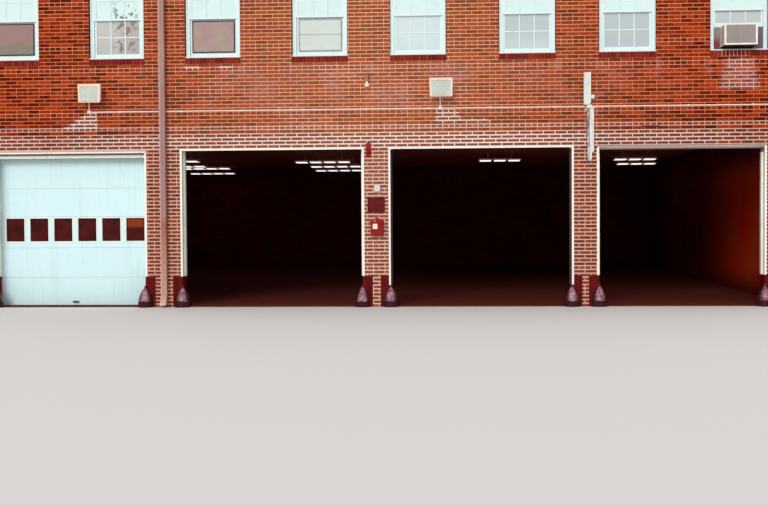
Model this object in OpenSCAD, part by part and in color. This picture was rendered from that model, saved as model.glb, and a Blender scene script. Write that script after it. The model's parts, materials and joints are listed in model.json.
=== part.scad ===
// Two-storey brick fire station with four vehicle bays on its street front.
// Z is up, the street front faces -Y, and the origin is on the ground under the middle.

/* [Footprint] */
// Depth of the building over its outer wall faces
building_d = 18300; // [14000:100:22000]
// Thickness of the outer brick walls
wall_t = 330; // [280:5:420]
// Width of the front's left end pier
left_pier_w = 930; // [700:5:1200]
// Width of the first bay from the left
bay_1_w = 2958; // [2700:1:3400]
// Width of the second bay from the left
bay_2_w = 3450; // [3000:5:3800]
// Width of the third bay from the left
bay_3_w = 3401; // [3000:1:3800]
// Width of the fourth bay from the left
bay_4_w = 3050; // [2700:5:3400]
// Width of the front's right end pier
right_pier_w = 855; // [700:5:1200]
// Width of the pier between bays 1 and 2
pier_1_w = 631; // [520:1:800]
// Width of the pier between bays 2 and 3
pier_2_w = 447; // [400:1:700]
// Width of the pier between bays 3 and 4
pier_3_w = 420; // [400:1:700]

/* [Storeys] */
// Height of the floor slab above the ground
floor_t = 20; // [10:5:80]
// Height of the brick openings of the bays
door_head_z = 2947; // [2750:1:3100]
// Height of the hall's ceiling
ceiling_z = 3325; // [3250:5:3500]
// Thickness of the upper floor with its joists
upper_floor_t = 400; // [300:10:460]
// Height of brickwork from the bay heads to the brick sills
sill_rise = 1582; // [1400:2:1800]
// Height of a brick sill
brick_sill_h = 106; // [80:2:140]
// Height of a window frame
window_h = 1546; // [1350:2:1700]
// Height of brickwork above the windows
head_wall_h = 413; // [330:2:600]
// Thickness of the attic floor
attic_floor_t = 200; // [120:10:280]

/* [Windows] */
// Width of a window frame
window_w = 1040; // [900:4:1200]
// Distance between the middles of the two windows over a pier
window_pair_pitch = 1814; // [1650:2:1900]
// Distance between the middles of the two windows over a bay
window_bay_pitch = 1998; // [1850:2:2050]
// Distance from a side wall's corner to the middle of its end window
side_window_margin = 2250; // [1500:10:3000]
// Number of windows on each side wall
side_windows = 7; // [3:1:7]
// Distance of a window frame behind the brick face
window_recess = 45; // [20:1:80]
// Depth of a window frame
frame_d = 130; // [125:1:160]
// Width of a frame's outer casing
casing_w = 38; // [30:1:50]
// Width of the stop beside the sashes
stop_w = 38; // [25:1:50]
// Distance of the stop behind the casing
stop_recess = 20; // [8:1:24]
// Thickness of a sash
sash_t = 36; // [30:1:40]
// Width of a sash's stiles and top rail
sash_w = 40; // [32:1:60]
// Height of the lower sash's bottom rail
bottom_rail_h = 78; // [60:1:100]
// Height of the meeting rails
meeting_rail_h = 32; // [26:1:44]
// Distance of the meeting rails above the underside of the frame
meeting_z = 745; // [690:1:820]
// Thickness of the window glass
glass_t = 4; // [3:1:8]
// Thickness of a blind
blind_t = 12; // [6:1:20]
// Distance of a blind behind its frame
blind_gap = 14; // [5:1:40]
// How far a brick sill stands out from the wall
sill_nose = 14; // [6:1:30]
// How far a frame's sill board stands out from its casing
sill_board_nose = 30; // [10:1:60]

/* [Bay doors] */
// Width of the white steel lining beside a bay
lining_w = 38; // [30:1:70]
// Height of the white steel lining under a bay's head
head_lining_h = 32; // [24:1:60]
// Drop of the board across the head of bay 1 below the brickwork
left_board_drop = 147; // [60:1:200]
// Drop of the board across the head of bay 4 below the brickwork
right_board_drop = 80; // [65:1:85]
// Thickness of a board across a bay's head
head_board_t = 45; // [30:1:55]
// Distance of such a board behind the brick face
head_board_recess = 100; // [80:1:105]
// Thickness of a door section
section_t = 45; // [40:1:60]
// Height of a door's bottom section
bottom_section_h = 527; // [480:1:600]
// Height of a regular door section
section_h = 565; // [540:1:600]
// Height of the door section that holds the lights
light_section_h = 590; // [570:1:620]
// How far a door section runs behind the brick beside the bay
section_lap = 40; // [20:1:60]
// Gap between a door section and the wall behind the lining
door_gap = 12; // [6:1:25]
// Number of lights in a door
door_lights = 6; // [3:1:6]
// Width of a door light
door_light_w = 352; // [280:2:380]
// Height of a door light
door_light_h = 436; // [300:2:440]
// Distance between the middles of two door lights
door_light_pitch = 466; // [440:2:480]
// Distance of the lights' middles above the middle of their section
door_light_up = 46; // [-40:1:60]
// Depth of a door track
track_d = 70; // [65:1:100]
// Width of a door track
track_w = 34; // [25:1:50]
// Height of the raised doors' underside
raised_z = 3105; // [3050:5:3140]
// Distance of a raised door's front edge behind the front wall
raised_y = 420; // [300:10:600]
// Thickness of a lintel plate over a bay
lintel_t = 12; // [8:1:20]
// Distance of a lintel plate behind the brick face
lintel_recess = 45; // [20:1:80]
// Width of the stop on a jamb lining
door_stop_w = 26; // [15:1:40]
// Depth of the stop on a jamb lining
door_stop_d = 100; // [60:5:100]
// Distance of the stop behind a board across a bay's head
door_stop_gap = 5; // [1:1:10]

/* [Guards] */
// Height of a corner guard beside a bay
corner_guard_h = 570; // [450:5:700]
// Width of a corner guard on the brick face
corner_guard_w = 148; // [110:2:170]
// Thickness of a corner guard on the brick face
corner_guard_t = 12; // [8:1:20]
// Height of a wheel guard
wheel_guard_h = 400; // [330:5:440]
// Height of the straight foot of a wheel guard
wheel_guard_foot_h = 112; // [80:1:150]
// Radius of a wheel guard at the ground
wheel_guard_r = 150; // [130:1:180]
// Radius of the knob on a wheel guard
wheel_guard_knob_r = 28; // [22:1:40]

/* [Roof] */
// Distance of the eaves beyond the walls
eaves_w = 450; // [300:10:600]
// Height of the boxed eaves
eaves_h = 200; // [150:5:280]
// Height of the frieze board under the eaves
frieze_h = 120; // [60:5:170]
// Thickness of the frieze board
frieze_t = 28; // [18:1:45]
// Rise of the roof over its run
roof_slope = 0.45; // [0.35:0.01:0.6]
// Depth of the roof structure measured upright
roof_deck_t = 240; // [180:5:320]
// Thickness of the slates measured upright
slate_t = 34; // [20:1:50]
// Distance of the slates beyond the eaves
slate_lap = 45; // [20:1:60]
// Radius of the ridge and hip caps
ridge_r = 65; // [45:1:90]
// Width of a gutter
gutter_w = 125; // [100:1:160]
// Height of a gutter
gutter_h = 110; // [80:1:140]
// Thickness of a gutter's sheet
gutter_t = 4; // [3:1:8]
// Distance of a gutter's rim below the roof's edge
gutter_drop = 42; // [38:1:60]

/* [Fittings] */
// Width of the downspout
downspout_w = 108; // [80:1:130]
// Depth of the downspout
downspout_d = 84; // [60:1:100]
// Thickness of the downspout's sheet
downspout_t = 4; // [3:1:8]
// Clearance between the downspout and the conduit that passes behind it
downspout_clear = 5; // [3:1:15]
// Height of the conduit over the ground
conduit_z = 3652; // [3560:1:3700]
// Radius of the conduit
conduit_r = 11; // [9:0.5:14]
// Distance of the conduit's axis from the wall
conduit_y = 15; // [15:1:30]
// Width of a floodlight
floodlight_w = 440; // [380:5:500]
// Height of a floodlight
floodlight_h = 355; // [300:5:400]
// Depth of a floodlight
floodlight_d = 190; // [140:5:240]
// Height of the left floodlight's middle
floodlight_z = 3982; // [3940:1:4050]
// How much higher the right floodlight stands
floodlight_rise = 31; // [0:1:60]
// Width of the air conditioner
ac_w = 588; // [540:2:660]
// Height of the air conditioner
ac_h = 373; // [340:1:420]
// How far the air conditioner stands out from the brick face
ac_out = 270; // [220:5:360]
// How far the air conditioner reaches behind the brick face
ac_in = 420; // [300:5:500]
// Width of each lens of a ceiling light
ceiling_lens_w = 370; // [300:5:400]
// Size of a ceiling light along the hall
ceiling_light_d = 320; // [250:10:420]
// Height of a ceiling light's box
ceiling_light_h = 60; // [50:2:120]
// Length of a ceiling light's hangers
hanger_h = 170; // [60:5:220]

/* [Hidden] */

brick = [0.66, 0.29, 0.2];
white = [0.86, 0.95, 0.95];
seat_gap = 0.3;
cut = 10;

// Places of the bays along the front, from left to right
bay_w = [bay_1_w, bay_2_w, bay_3_w, bay_4_w];
pier_w = [left_pier_w, pier_1_w, pier_2_w, pier_3_w, right_pier_w];
function sum(list, n) = n == 0 ? 0 : list[n - 1] + sum(list, n - 1);
building_w = sum(pier_w, 5) + sum(bay_w, 4);
half_w = building_w / 2;
half_d = building_d / 2;
front_y = -half_d;
inner_y = front_y + wall_t;
function pier_x(i) = -half_w + sum(pier_w, i) + sum(bay_w, i);
function bay_x(i) = pier_x(i) + pier_w[i];
function bay_mid(i) = bay_x(i) + bay_w[i] / 2;
function pier_mid(i) = pier_x(i) + pier_w[i] / 2;
open_bays = [1, 2, 3];

// Heights of the storeys
sill_z = door_head_z + sill_rise;
window_z = sill_z + brick_sill_h;
window_head_z = window_z + window_h;
wall_top_z = window_head_z + head_wall_h;

// Places of the windows, as distances along their own wall
front_window_x = [for (side = [-1, 1], offset = [window_pair_pitch / 2,
    window_pair_pitch / 2 + window_bay_pitch,
    window_pair_pitch * 1.5 + window_bay_pitch,
    window_pair_pitch * 1.5 + window_bay_pitch * 2]) side * offset];
side_window_x = [for (i = [0 : side_windows - 1])
    -half_d + side_window_margin + i * (building_d - 2 * side_window_margin) / (side_windows - 1)];
ac_window_x = window_pair_pitch * 1.5 + window_bay_pitch * 2;
ac_shift = -29;
ac_sash_gap = 2;

// Sizes of a window's inside
sash_span = window_w - 2 * (casing_w + stop_w);
frame_base_h = 26;
sash_low_z = window_z + frame_base_h;
sash_top_z = window_head_z - casing_w - stop_w;
upper_sash_y = window_recess + stop_recess + 6;
lower_sash_y = upper_sash_y + sash_t + 2;
blind_y = window_recess + frame_d + blind_gap;
front_blind_drop = [1200, 1330, 1200, 1330, 1330, 1330, 1330, 1000];
other_blind_drop = 1100;

// Sizes of the doors
leaf_y = inner_y + door_gap;
leaf_top_z = door_head_z + section_lap;
leaf_h = leaf_top_z - floor_t - seat_gap;
seam = 3;
least_section_h = 100;
lintel_bearing = 150;
head_board_y = front_y + head_board_recess;
head_board_drop = [left_board_drop, 0, 0, right_board_drop];

// Heights at which a door's sections start over its sill; the third holds the lights
light_section = 2;
light_section_z = bottom_section_h + section_h;
section_starts = concat([0, bottom_section_h, light_section_z, light_section_z + light_section_h],
    [for (z = bottom_section_h + 3 * section_h; z < leaf_h - least_section_h; z = z + section_h) z]);
sections = len(section_starts);
door_light_z = light_section_z + light_section_h / 2 + door_light_up;

// Each light under the hall's ceiling: its bay, its distance from the bay's middle,
// its share of the building's depth from the front, and its number of lenses
hall_lights = [[0, -18, 0.447, 4], [0, -478, 0.6115, 4], [0, -78, 0.694, 4], [0, -668, 0.9077, 4],
    [1, -73, 0.5055, 4], [1, -13, 0.6585, 4], [1, -213, 0.8175, 4],
    [2, 670, 0.502, 3], [3, 489, 0.502, 3], [3, 924, 0.6514, 3]];

// Half sizes of the roof at its eaves
roof_a = half_w + eaves_w;
roof_b = half_d + eaves_w;
slate_low_z = wall_top_z - slate_lap * roof_slope;

// Sizes of the small fittings
downspout_x = pier_mid(1) + 17;
downspout_gap = conduit_y + conduit_r + downspout_clear;
spout_y = -downspout_gap - downspout_d / 2;
outlet_y = -eaves_w - gutter_w / 2;
outlet_z = wall_top_z - gutter_drop - gutter_h;
neck_high_z = outlet_z - 90;
neck_low_z = neck_high_z - 330;
shoe_high_z = 230;
shoe_low_z = 45;
collar_h = 46;
collar_t = 6;
collar_z = sill_z + 56;
strap_h = 34;
strap_heights = [sill_z + 127, door_head_z - 422, corner_guard_h + 255];
shoe_reach = 120;
floodlight_x = [-5250, 1310];
floodlight_shift = [70, 20];
floodlight_glass_recess = 14;
floodlight_back = 60;
bezel_side = 45;
bezel_top = 50;
bezel_low = 26;
function floodlight_low_z(n) = floodlight_z + n * floodlight_rise - floodlight_h / 2;
socket_h = 24;
socket_r = conduit_y - 1;
clip_w = 30;
clip_pitch = 1150;
wall_box_x = pier_mid(3) + 28;
wall_box_foot = [-7, 83];
sleeve_top_z = conduit_z - 36;
sleeve_l = 961;

// Puts children, made for the front, on each wall of the building in turn
module on_rear() { rotate([0, 0, 180]) children(); }

// On the left wall, the wall's own length runs along X and its face is at -Y
module on_left() { translate([-half_w + half_d, 0, 0]) rotate([0, 0, -90]) children(); }

module on_right() { translate([half_w - half_d, 0, 0]) rotate([0, 0, 90]) children(); }

module at_windows(places) { for (x = places) translate([x, front_y, 0]) children(); }

module block(x0, x1, y0, y1, z0, z1) {
    translate([x0, y0, z0]) cube([x1 - x0, y1 - y0, z1 - z0]);
}

// A pier is notched on top for the lintel plates that bear on it
module pier(i) {
    color(brick) difference() {
        block(pier_x(i), pier_x(i) + pier_w[i], front_y, inner_y, 0, door_head_z);
        for (n = [max(i - 1, 0) : min(i, 3)]) lintel_plate(n, cut);
    }
}

module window_holes(places) {
    at_windows(places)
        block(-window_w / 2, window_w / 2, -cut, wall_t + cut, sill_z, window_head_z);
}

module floor_slab() {
    color([0.55, 0.5, 0.47]) union() {
        block(-half_w + wall_t, half_w - wall_t, inner_y, half_d - wall_t, 0, floor_t);
        for (i = [0 : 3]) block(bay_x(i), bay_x(i) + bay_w[i], front_y, inner_y + cut, 0, floor_t);
    }
}

module end_pier_left() { pier(0); }

module pier_1() { pier(1); }

module pier_2() { pier(2); }

module pier_3() { pier(3); }

module end_pier_right() { pier(4); }

module front_wall_upper() {
    color(brick) difference() {
        block(-half_w, half_w, front_y, inner_y, door_head_z, wall_top_z);
        window_holes(front_window_x);
    }
}

module side_wall() {
    difference() {
        block(-half_d + wall_t, half_d - wall_t, front_y, inner_y, 0, wall_top_z);
        window_holes(side_window_x);
    }
}

module left_wall() { color(brick) on_left() side_wall(); }

module right_wall() { color(brick) on_right() side_wall(); }

module rear_wall() {
    color(brick) on_rear() difference() {
        block(-half_w, half_w, front_y, inner_y, 0, wall_top_z);
        window_holes(front_window_x);
    }
}

module upper_floor() {
    color([0.5, 0.45, 0.42])
        block(-half_w + wall_t, half_w - wall_t, inner_y, half_d - wall_t,
            ceiling_z, ceiling_z + upper_floor_t);
}

module attic_floor() {
    color([0.8, 0.78, 0.72])
        block(-half_w + wall_t, half_w - wall_t, inner_y, half_d - wall_t,
            wall_top_z - attic_floor_t, wall_top_z);
}

// A steel plate over a bay, bearing on the piers at both ends
module lintel_plate(i, above) {
    block(bay_x(i) - lintel_bearing, bay_x(i) + bay_w[i] + lintel_bearing, front_y + lintel_recess,
        inner_y + above, door_head_z - lintel_t, door_head_z + above);
}

module door_lintels() { color([0.4, 0.4, 0.42]) for (i = [0 : 3]) lintel_plate(i, 0); }

module brick_sill() {
    block(-window_w / 2, window_w / 2, -sill_nose, window_recess + frame_d, sill_z, window_z);
}

module brick_sills() {
    color([0.58, 0.22, 0.14]) union() {
        at_windows(front_window_x) brick_sill();
        on_rear() at_windows(front_window_x) brick_sill();
        on_left() at_windows(side_window_x) brick_sill();
        on_right() at_windows(side_window_x) brick_sill();
    }
}

// Casing, stop and sill board in one fixed frame
module window_frame() {
    inner = sash_span / 2;
    stop = window_w / 2 - casing_w;
    difference() {
        block(-window_w / 2, window_w / 2, window_recess, window_recess + frame_d,
            window_z, window_head_z);
        block(-inner, inner, window_recess - cut, window_recess + frame_d + cut,
            sash_low_z, sash_top_z);
        block(-stop, stop, window_recess - cut, window_recess + stop_recess,
            sash_low_z, window_head_z - casing_w);
    }
    block(-window_w / 2, window_w / 2, window_recess - sill_board_nose, window_recess + cut,
        window_z, sash_low_z);
}

module front_window_frames() { color(white) at_windows(front_window_x) window_frame(); }

module other_window_frames() {
    color(white) union() {
        on_rear() at_windows(front_window_x) window_frame();
        on_left() at_windows(side_window_x) window_frame();
        on_right() at_windows(side_window_x) window_frame();
    }
}

// A sash from z0 to z1 with its own rail heights
module sash(y, z0, z1, low_rail, high_rail) {
    difference() {
        block(-sash_span / 2 + seat_gap, sash_span / 2 - seat_gap, y, y + sash_t, z0, z1);
        block(-sash_span / 2 + sash_w, sash_span / 2 - sash_w, y - cut, y + sash_t + cut,
            z0 + low_rail, z1 - high_rail);
    }
}

module pane(y, z0, z1) {
    block(-sash_span / 2 + sash_w, sash_span / 2 - sash_w,
        y + (sash_t - glass_t) / 2, y + (sash_t + glass_t) / 2, z0, z1);
}

upper_low_z = window_z + meeting_z - meeting_rail_h / 2;
lower_top_z = window_z + meeting_z + meeting_rail_h / 2;
ac_foot_h = 32;
ac_top_z = sash_low_z + ac_foot_h + ac_h;
raised_shift = ac_top_z + ac_sash_gap - sash_low_z;

module upper_sash() { sash(upper_sash_y, upper_low_z, sash_top_z - seat_gap, meeting_rail_h, sash_w); }

module lower_sash() { sash(lower_sash_y, sash_low_z, lower_top_z, bottom_rail_h, meeting_rail_h); }

module upper_pane() { pane(upper_sash_y, upper_low_z + meeting_rail_h, sash_top_z - seat_gap - sash_w); }

module lower_pane() { pane(lower_sash_y, sash_low_z + bottom_rail_h, lower_top_z - meeting_rail_h); }

module front_upper_sashes() { color(white) at_windows(front_window_x) upper_sash(); }

// The sash over the air conditioner stands raised on it
module front_lower_sashes() {
    color(white) for (x = front_window_x)
        translate([x, front_y, x == ac_window_x ? raised_shift : 0]) lower_sash();
}

module other_window_sashes() {
    color(white) union() {
        on_rear() at_windows(front_window_x) upper_sash();
        on_rear() at_windows(front_window_x) lower_sash();
        on_left() at_windows(side_window_x) upper_sash();
        on_left() at_windows(side_window_x) lower_sash();
        on_right() at_windows(side_window_x) upper_sash();
        on_right() at_windows(side_window_x) lower_sash();
    }
}

module front_window_glass() {
    color([0.75, 0.85, 0.88]) union() {
        at_windows(front_window_x) upper_pane();
        for (x = front_window_x) translate([x, front_y, x == ac_window_x ? raised_shift : 0]) lower_pane();
    }
}

module other_window_glass() {
    color([0.75, 0.85, 0.88]) union() {
        on_rear() at_windows(front_window_x) upper_pane();
        on_rear() at_windows(front_window_x) lower_pane();
        on_left() at_windows(side_window_x) upper_pane();
        on_left() at_windows(side_window_x) lower_pane();
        on_right() at_windows(side_window_x) upper_pane();
        on_right() at_windows(side_window_x) lower_pane();
    }
}

// A blind hangs between the reveals from the wall over the window
module blind(drop) {
    block(-window_w / 2 + seat_gap, window_w / 2 - seat_gap, blind_y, blind_y + blind_t,
        window_head_z - seat_gap - drop, window_head_z - seat_gap);
}

module front_window_blinds() {
    color([0.8, 0.78, 0.76]) for (i = [0 : 7])
        translate([front_window_x[i], front_y, 0]) blind(front_blind_drop[i]);
}

module other_window_blinds() {
    color([0.8, 0.78, 0.76]) union() {
        on_rear() at_windows(front_window_x) blind(other_blind_drop);
        on_left() at_windows(side_window_x) blind(other_blind_drop);
        on_right() at_windows(side_window_x) blind(other_blind_drop);
    }
}

// The unit rests on a foot on the sill board and holds the raised sash
module air_conditioner() {
    color([0.75, 0.75, 0.73]) translate([ac_window_x + ac_shift, front_y, 0]) union() {
        block(-ac_w / 2, ac_w / 2, -ac_out, ac_in, ac_top_z - ac_h, ac_top_z);
        block(-ac_w / 2 + 60, ac_w / 2 - 60, lower_sash_y, lower_sash_y + 60, sash_low_z, ac_top_z - ac_h);
    }
}

module ac_side_panels() {
    panel_t = 18;
    color([0.62, 0.52, 0.52]) for (side = [-1, 1]) {
        edge = side * (sash_span / 2 - seat_gap);
        body = ac_shift + side * ac_w / 2;
        translate([ac_window_x, front_y, 0])
            block(min(edge, body), max(edge, body), lower_sash_y + 6, lower_sash_y + 6 + panel_t,
                sash_low_z, ac_top_z);
    }
}

// Linings stop above the corner guards that wrap round the jambs
function lining_low_z(i) = i == 2 ? wheel_guard_h : corner_guard_h;

module jamb_lining(i, side) {
    jamb = bay_mid(i) + side * bay_w[i] / 2;
    face = jamb - side * lining_w;
    stop = face - side * door_stop_w;
    stop_y = head_board_y + head_board_t + door_stop_gap;
    high = door_head_z - head_lining_h;
    union() {
        block(min(jamb, face), max(jamb, face), front_y, inner_y, lining_low_z(i), high);
        block(min(jamb, stop), max(jamb, stop), stop_y, stop_y + door_stop_d, lining_low_z(i), high);
    }
}

module door_jamb_linings() { color(white) for (i = [0 : 3], side = [-1, 1]) jamb_lining(i, side); }

// A head lining rises in front of the lintel plate to the brickwork, and may hold a lower board
module door_head_linings() {
    inset = lining_w + seat_gap;
    color(white) for (i = [0 : 3]) union() {
        block(bay_x(i), bay_x(i) + bay_w[i], front_y, inner_y,
            door_head_z - head_lining_h, door_head_z - lintel_t);
        block(bay_x(i), bay_x(i) + bay_w[i], front_y, front_y + lintel_recess,
            door_head_z - head_lining_h, door_head_z);
        if (head_board_drop[i] > 0)
            block(bay_x(i) + inset, bay_x(i) + bay_w[i] - inset, head_board_y, head_board_y + head_board_t,
                door_head_z - head_board_drop[i], door_head_z - lintel_t);
    }
}

// A door's sections standing in the plane y = 0, with its sill at z = 0
module door_sections(i) {
    span = bay_w[i] / 2 + section_lap;
    for (n = [0 : sections - 1]) {
        z1 = n == sections - 1 ? leaf_h : section_starts[n + 1] - seam;
        difference() {
            block(-span, span, 0, section_t, section_starts[n], z1);
            if (n == light_section) door_light_holes(section_t);
        }
    }
}

module at_door_lights() {
    for (k = [0 : door_lights - 1])
        translate([(k - (door_lights - 1) / 2) * door_light_pitch, 0, door_light_z]) children();
}

module door_light_holes(t) {
    at_door_lights()
        block(-door_light_w / 2, door_light_w / 2, -cut, t + cut, -door_light_h / 2, door_light_h / 2);
}

module door_glass() {
    y = (section_t - glass_t) / 2;
    at_door_lights()
        block(-door_light_w / 2, door_light_w / 2, y, y + glass_t, -door_light_h / 2, door_light_h / 2);
}

module closed_place() { translate([bay_mid(0), leaf_y, floor_t + seat_gap]) children(); }

module raised_place(i) {
    translate([bay_mid(i), inner_y + raised_y + leaf_h, raised_z + section_t])
        rotate([90, 0, 0]) mirror([0, 1, 0]) children();
}

module closed_door_sections() { color([0.84, 0.95, 0.97]) closed_place() door_sections(0); }

module closed_door_glass() { color([0.35, 0.1, 0.1]) closed_place() door_glass(); }

module closed_door_handle() {
    handle_w = 105;
    grip = 26;
    low = 50;
    color([0.1, 0.1, 0.1]) closed_place() union() {
        block(-handle_w / 2, handle_w / 2, -grip * 2, -grip, low, low + grip);
        block(-handle_w / 2, -handle_w / 2 + grip, -grip, 0, low, low + grip);
        block(handle_w / 2 - grip, handle_w / 2, -grip, 0, low, low + grip);
    }
}

module raised_door_sections() {
    color([0.84, 0.95, 0.97]) for (i = open_bays) raised_place(i) door_sections(i);
}

module raised_door_glass() { color([0.35, 0.1, 0.1]) for (i = open_bays) raised_place(i) door_glass(); }

// Tracks stand on the slab beside each door and bend back under the ceiling as rails
module door_tracks() {
    color(white) for (i = [0 : 3], side = [-1, 1]) {
        edge = bay_mid(i) + side * (bay_w[i] / 2 + section_lap + seat_gap);
        block(min(edge, edge + side * track_w), max(edge, edge + side * track_w),
            inner_y, inner_y + track_d, floor_t, raised_z);
    }
}

module door_rails() {
    length = leaf_h + raised_y;
    hanger = 30;
    color([0.6, 0.62, 0.62]) for (i = [0 : 3], side = [-1, 1]) {
        edge = bay_mid(i) + side * (bay_w[i] / 2 + section_lap + seat_gap);
        union() {
            block(min(edge, edge + side * track_w), max(edge, edge + side * track_w),
                inner_y, inner_y + length, raised_z, raised_z + track_d);
            for (y = [0.25, 0.95])
                block(min(edge, edge + side * 6), max(edge, edge + side * 6),
                    inner_y + length * y, inner_y + length * y + hanger, raised_z + track_d, ceiling_z);
        }
    }
}

module ceiling_light(x, y, lenses) {
    low = ceiling_z - hanger_h - ceiling_light_h;
    half = lenses * ceiling_lens_w / 2;
    rod_r = 8;
    rod_inset = 250;
    translate([x, y, 0]) union() {
        block(-half, half, -ceiling_light_d / 2, ceiling_light_d / 2, low, low + ceiling_light_h);
        for (side = [-1, 1]) translate([side * (half - rod_inset), 0, low + ceiling_light_h])
            cylinder(r = rod_r, h = hanger_h, $fn = 24);
    }
}

module ceiling_lights() {
    color([0.95, 0.95, 0.92]) for (light = hall_lights)
        ceiling_light(bay_mid(light[0]) + light[1], front_y + light[2] * building_d, light[3]);
}

// A cast angle at each jamb, with one leg on the brick face and one in the opening
module corner_guard(i, side) {
    jamb = bay_mid(i) + side * bay_w[i] / 2;
    face = jamb + side * corner_guard_w;
    inside = jamb - side * lining_w;
    color([0.32, 0.06, 0.07]) union() {
        block(min(jamb, face), max(jamb, face), front_y - corner_guard_t, front_y, 0, corner_guard_h);
        block(min(inside, jamb), max(inside, jamb), front_y - corner_guard_t, inner_y,
            floor_t, lining_low_z(i));
        block(min(inside, jamb), max(inside, jamb), front_y - corner_guard_t, front_y,
            0, lining_low_z(i));
    }
}

module corner_guards() { for (i = [0 : 3], side = [-1, 1]) corner_guard(i, side); }

// A bell-shaped casting round each jamb's corner, cut away where the pier stands:
// a straight foot, a pointed bell on it and a knob at the tip
module wheel_guard(i, side) {
    jamb = bay_mid(i) + side * bay_w[i] / 2;
    inside = jamb - side * lining_w;
    steps = 8;
    lip_h = 12;
    foot_r = wheel_guard_r - 9;
    bell_r = foot_r - 8;
    neck_r = wheel_guard_knob_r - 8;
    neck_z = wheel_guard_h - 1.1 * wheel_guard_knob_r;
    knob_z = neck_z + wheel_guard_knob_r / 2;
    bell_h = neck_z - wheel_guard_foot_h;
    function bell(t) = [neck_r + (bell_r - neck_r) * (1 - t * t), wheel_guard_foot_h + bell_h * t];
    color([0.3, 0.05, 0.09]) difference() {
        translate([inside, front_y - corner_guard_t, 0]) rotate_extrude($fn = 48)
            polygon(concat([[0, 0], [wheel_guard_r, 0], [wheel_guard_r, lip_h],
                [foot_r, 2 * lip_h], [foot_r, wheel_guard_foot_h - lip_h]],
                [for (k = [0 : steps]) bell(k / steps)],
                [[wheel_guard_knob_r, knob_z - 2], [wheel_guard_knob_r, knob_z + 4],
                [neck_r, wheel_guard_h - 5], [neck_r / 3, wheel_guard_h], [0, wheel_guard_h]]));
        block(min(inside, jamb + side * wheel_guard_r), max(inside, jamb + side * wheel_guard_r),
            front_y - corner_guard_t, inner_y, -cut, wheel_guard_h + cut);
        block(inside - wheel_guard_r - cut, inside + wheel_guard_r + cut,
            front_y, inner_y, -cut, floor_t);
    }
}

module wheel_guards() { for (i = [0 : 3], side = [-1, 1]) wheel_guard(i, side); }

// The pipe's side outline, from the gutter's outlet back to the wall and down to a turned-out shoe
function spout_outline(h, extra) = [[outlet_y + h, outlet_z + extra], [outlet_y + h, neck_high_z],
    [spout_y + h, neck_low_z], [spout_y + h, shoe_high_z], [spout_y + h - shoe_reach, shoe_low_z - extra],
    [spout_y - h - shoe_reach, shoe_low_z - extra], [spout_y - h, shoe_high_z], [spout_y - h, neck_low_z],
    [outlet_y - h, neck_high_z], [outlet_y - h, outlet_z + extra]];

module spout_strap(z, h) {
    block(-downspout_w / 2 - collar_t, downspout_w / 2 + collar_t,
        spout_y - downspout_d / 2 - collar_t, 0, z, z + h);
}

// A rectangular pipe held off the wall by straps, with a joint collar
module downspout() {
    color([0.6, 0.42, 0.43]) translate([downspout_x, front_y, 0]) difference() {
        union() {
            translate([-downspout_w / 2, 0, 0]) rotate([90, 0, 90]) linear_extrude(downspout_w)
                polygon(spout_outline(downspout_d / 2, 0));
            for (z = strap_heights) spout_strap(z, strap_h);
            block(-downspout_w / 2 - collar_t, downspout_w / 2 + collar_t,
                spout_y - downspout_d / 2 - collar_t, spout_y + downspout_d / 2,
                collar_z, collar_z + collar_h);
        }
        translate([-downspout_w / 2 + downspout_t, 0, 0]) rotate([90, 0, 90])
            linear_extrude(downspout_w - 2 * downspout_t)
                polygon(spout_outline(downspout_d / 2 - downspout_t, cut));
    }
}

// A surface conduit with tees under the floodlights and small clips, broken at the wall box's foot
module conduit() {
    run_start = floodlight_x[0];
    run_end = half_w - 60;
    breaks = [[run_start, wall_box_x + wall_box_foot[0] - seat_gap],
        [wall_box_x + wall_box_foot[1] + seat_gap, run_end]];
    color(white) translate([0, front_y, 0]) {
        for (run = breaks) union() {
            translate([run[0], -conduit_y, conduit_z]) rotate([0, 90, 0])
                cylinder(r = conduit_r, h = run[1] - run[0], $fn = 24);
            for (x = [run[0] + clip_pitch / 2 : clip_pitch : run[1] - clip_w])
                block(x, x + clip_w, -conduit_y - conduit_r - 2, 0,
                    conduit_z - conduit_r - 4, conduit_z + conduit_r + 4);
            for (n = [0, 1]) let (x = floodlight_x[n]) if (x >= run[0] && x < run[1]) {
                block(x - 32, x + 32, -conduit_y - 18, 0, conduit_z - 22, conduit_z + 26);
                translate([x, -conduit_y, conduit_z])
                    cylinder(r = conduit_r, h = floodlight_low_z(n) - socket_h - conduit_z, $fn = 24);
            }
        }
    }
}

// A tapered lamp box with a recessed lens, on a bracket against the wall over its stem
module floodlight(n) {
    low = floodlight_low_z(n);
    back = -floodlight_back;
    front = back - floodlight_d;
    color([0.86, 0.84, 0.76]) translate([floodlight_x[n], front_y, 0]) difference() {
        union() {
            translate([floodlight_shift[n] - floodlight_w / 2, 0, 0]) rotate([90, 0, 90])
                linear_extrude(floodlight_w)
                    polygon([[back, low + floodlight_h * 0.75], [back, low + floodlight_h * 0.2],
                        [front, low], [front, low + floodlight_h]]);
            block(-70, 70, back, 0, low + floodlight_h * 0.3, low + floodlight_h * 0.6);
            translate([0, -conduit_y, low - socket_h])
                cylinder(r = socket_r, h = floodlight_h * 0.3 + socket_h, $fn = 24);
        }
        translate([floodlight_shift[n], 0, 0])
            block(-floodlight_w / 2 + bezel_side, floodlight_w / 2 - bezel_side, front - cut,
                front + floodlight_glass_recess, low + bezel_low, low + floodlight_h - bezel_top);
    }
}

module floodlights() { for (n = [0, 1]) floodlight(n); }

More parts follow.
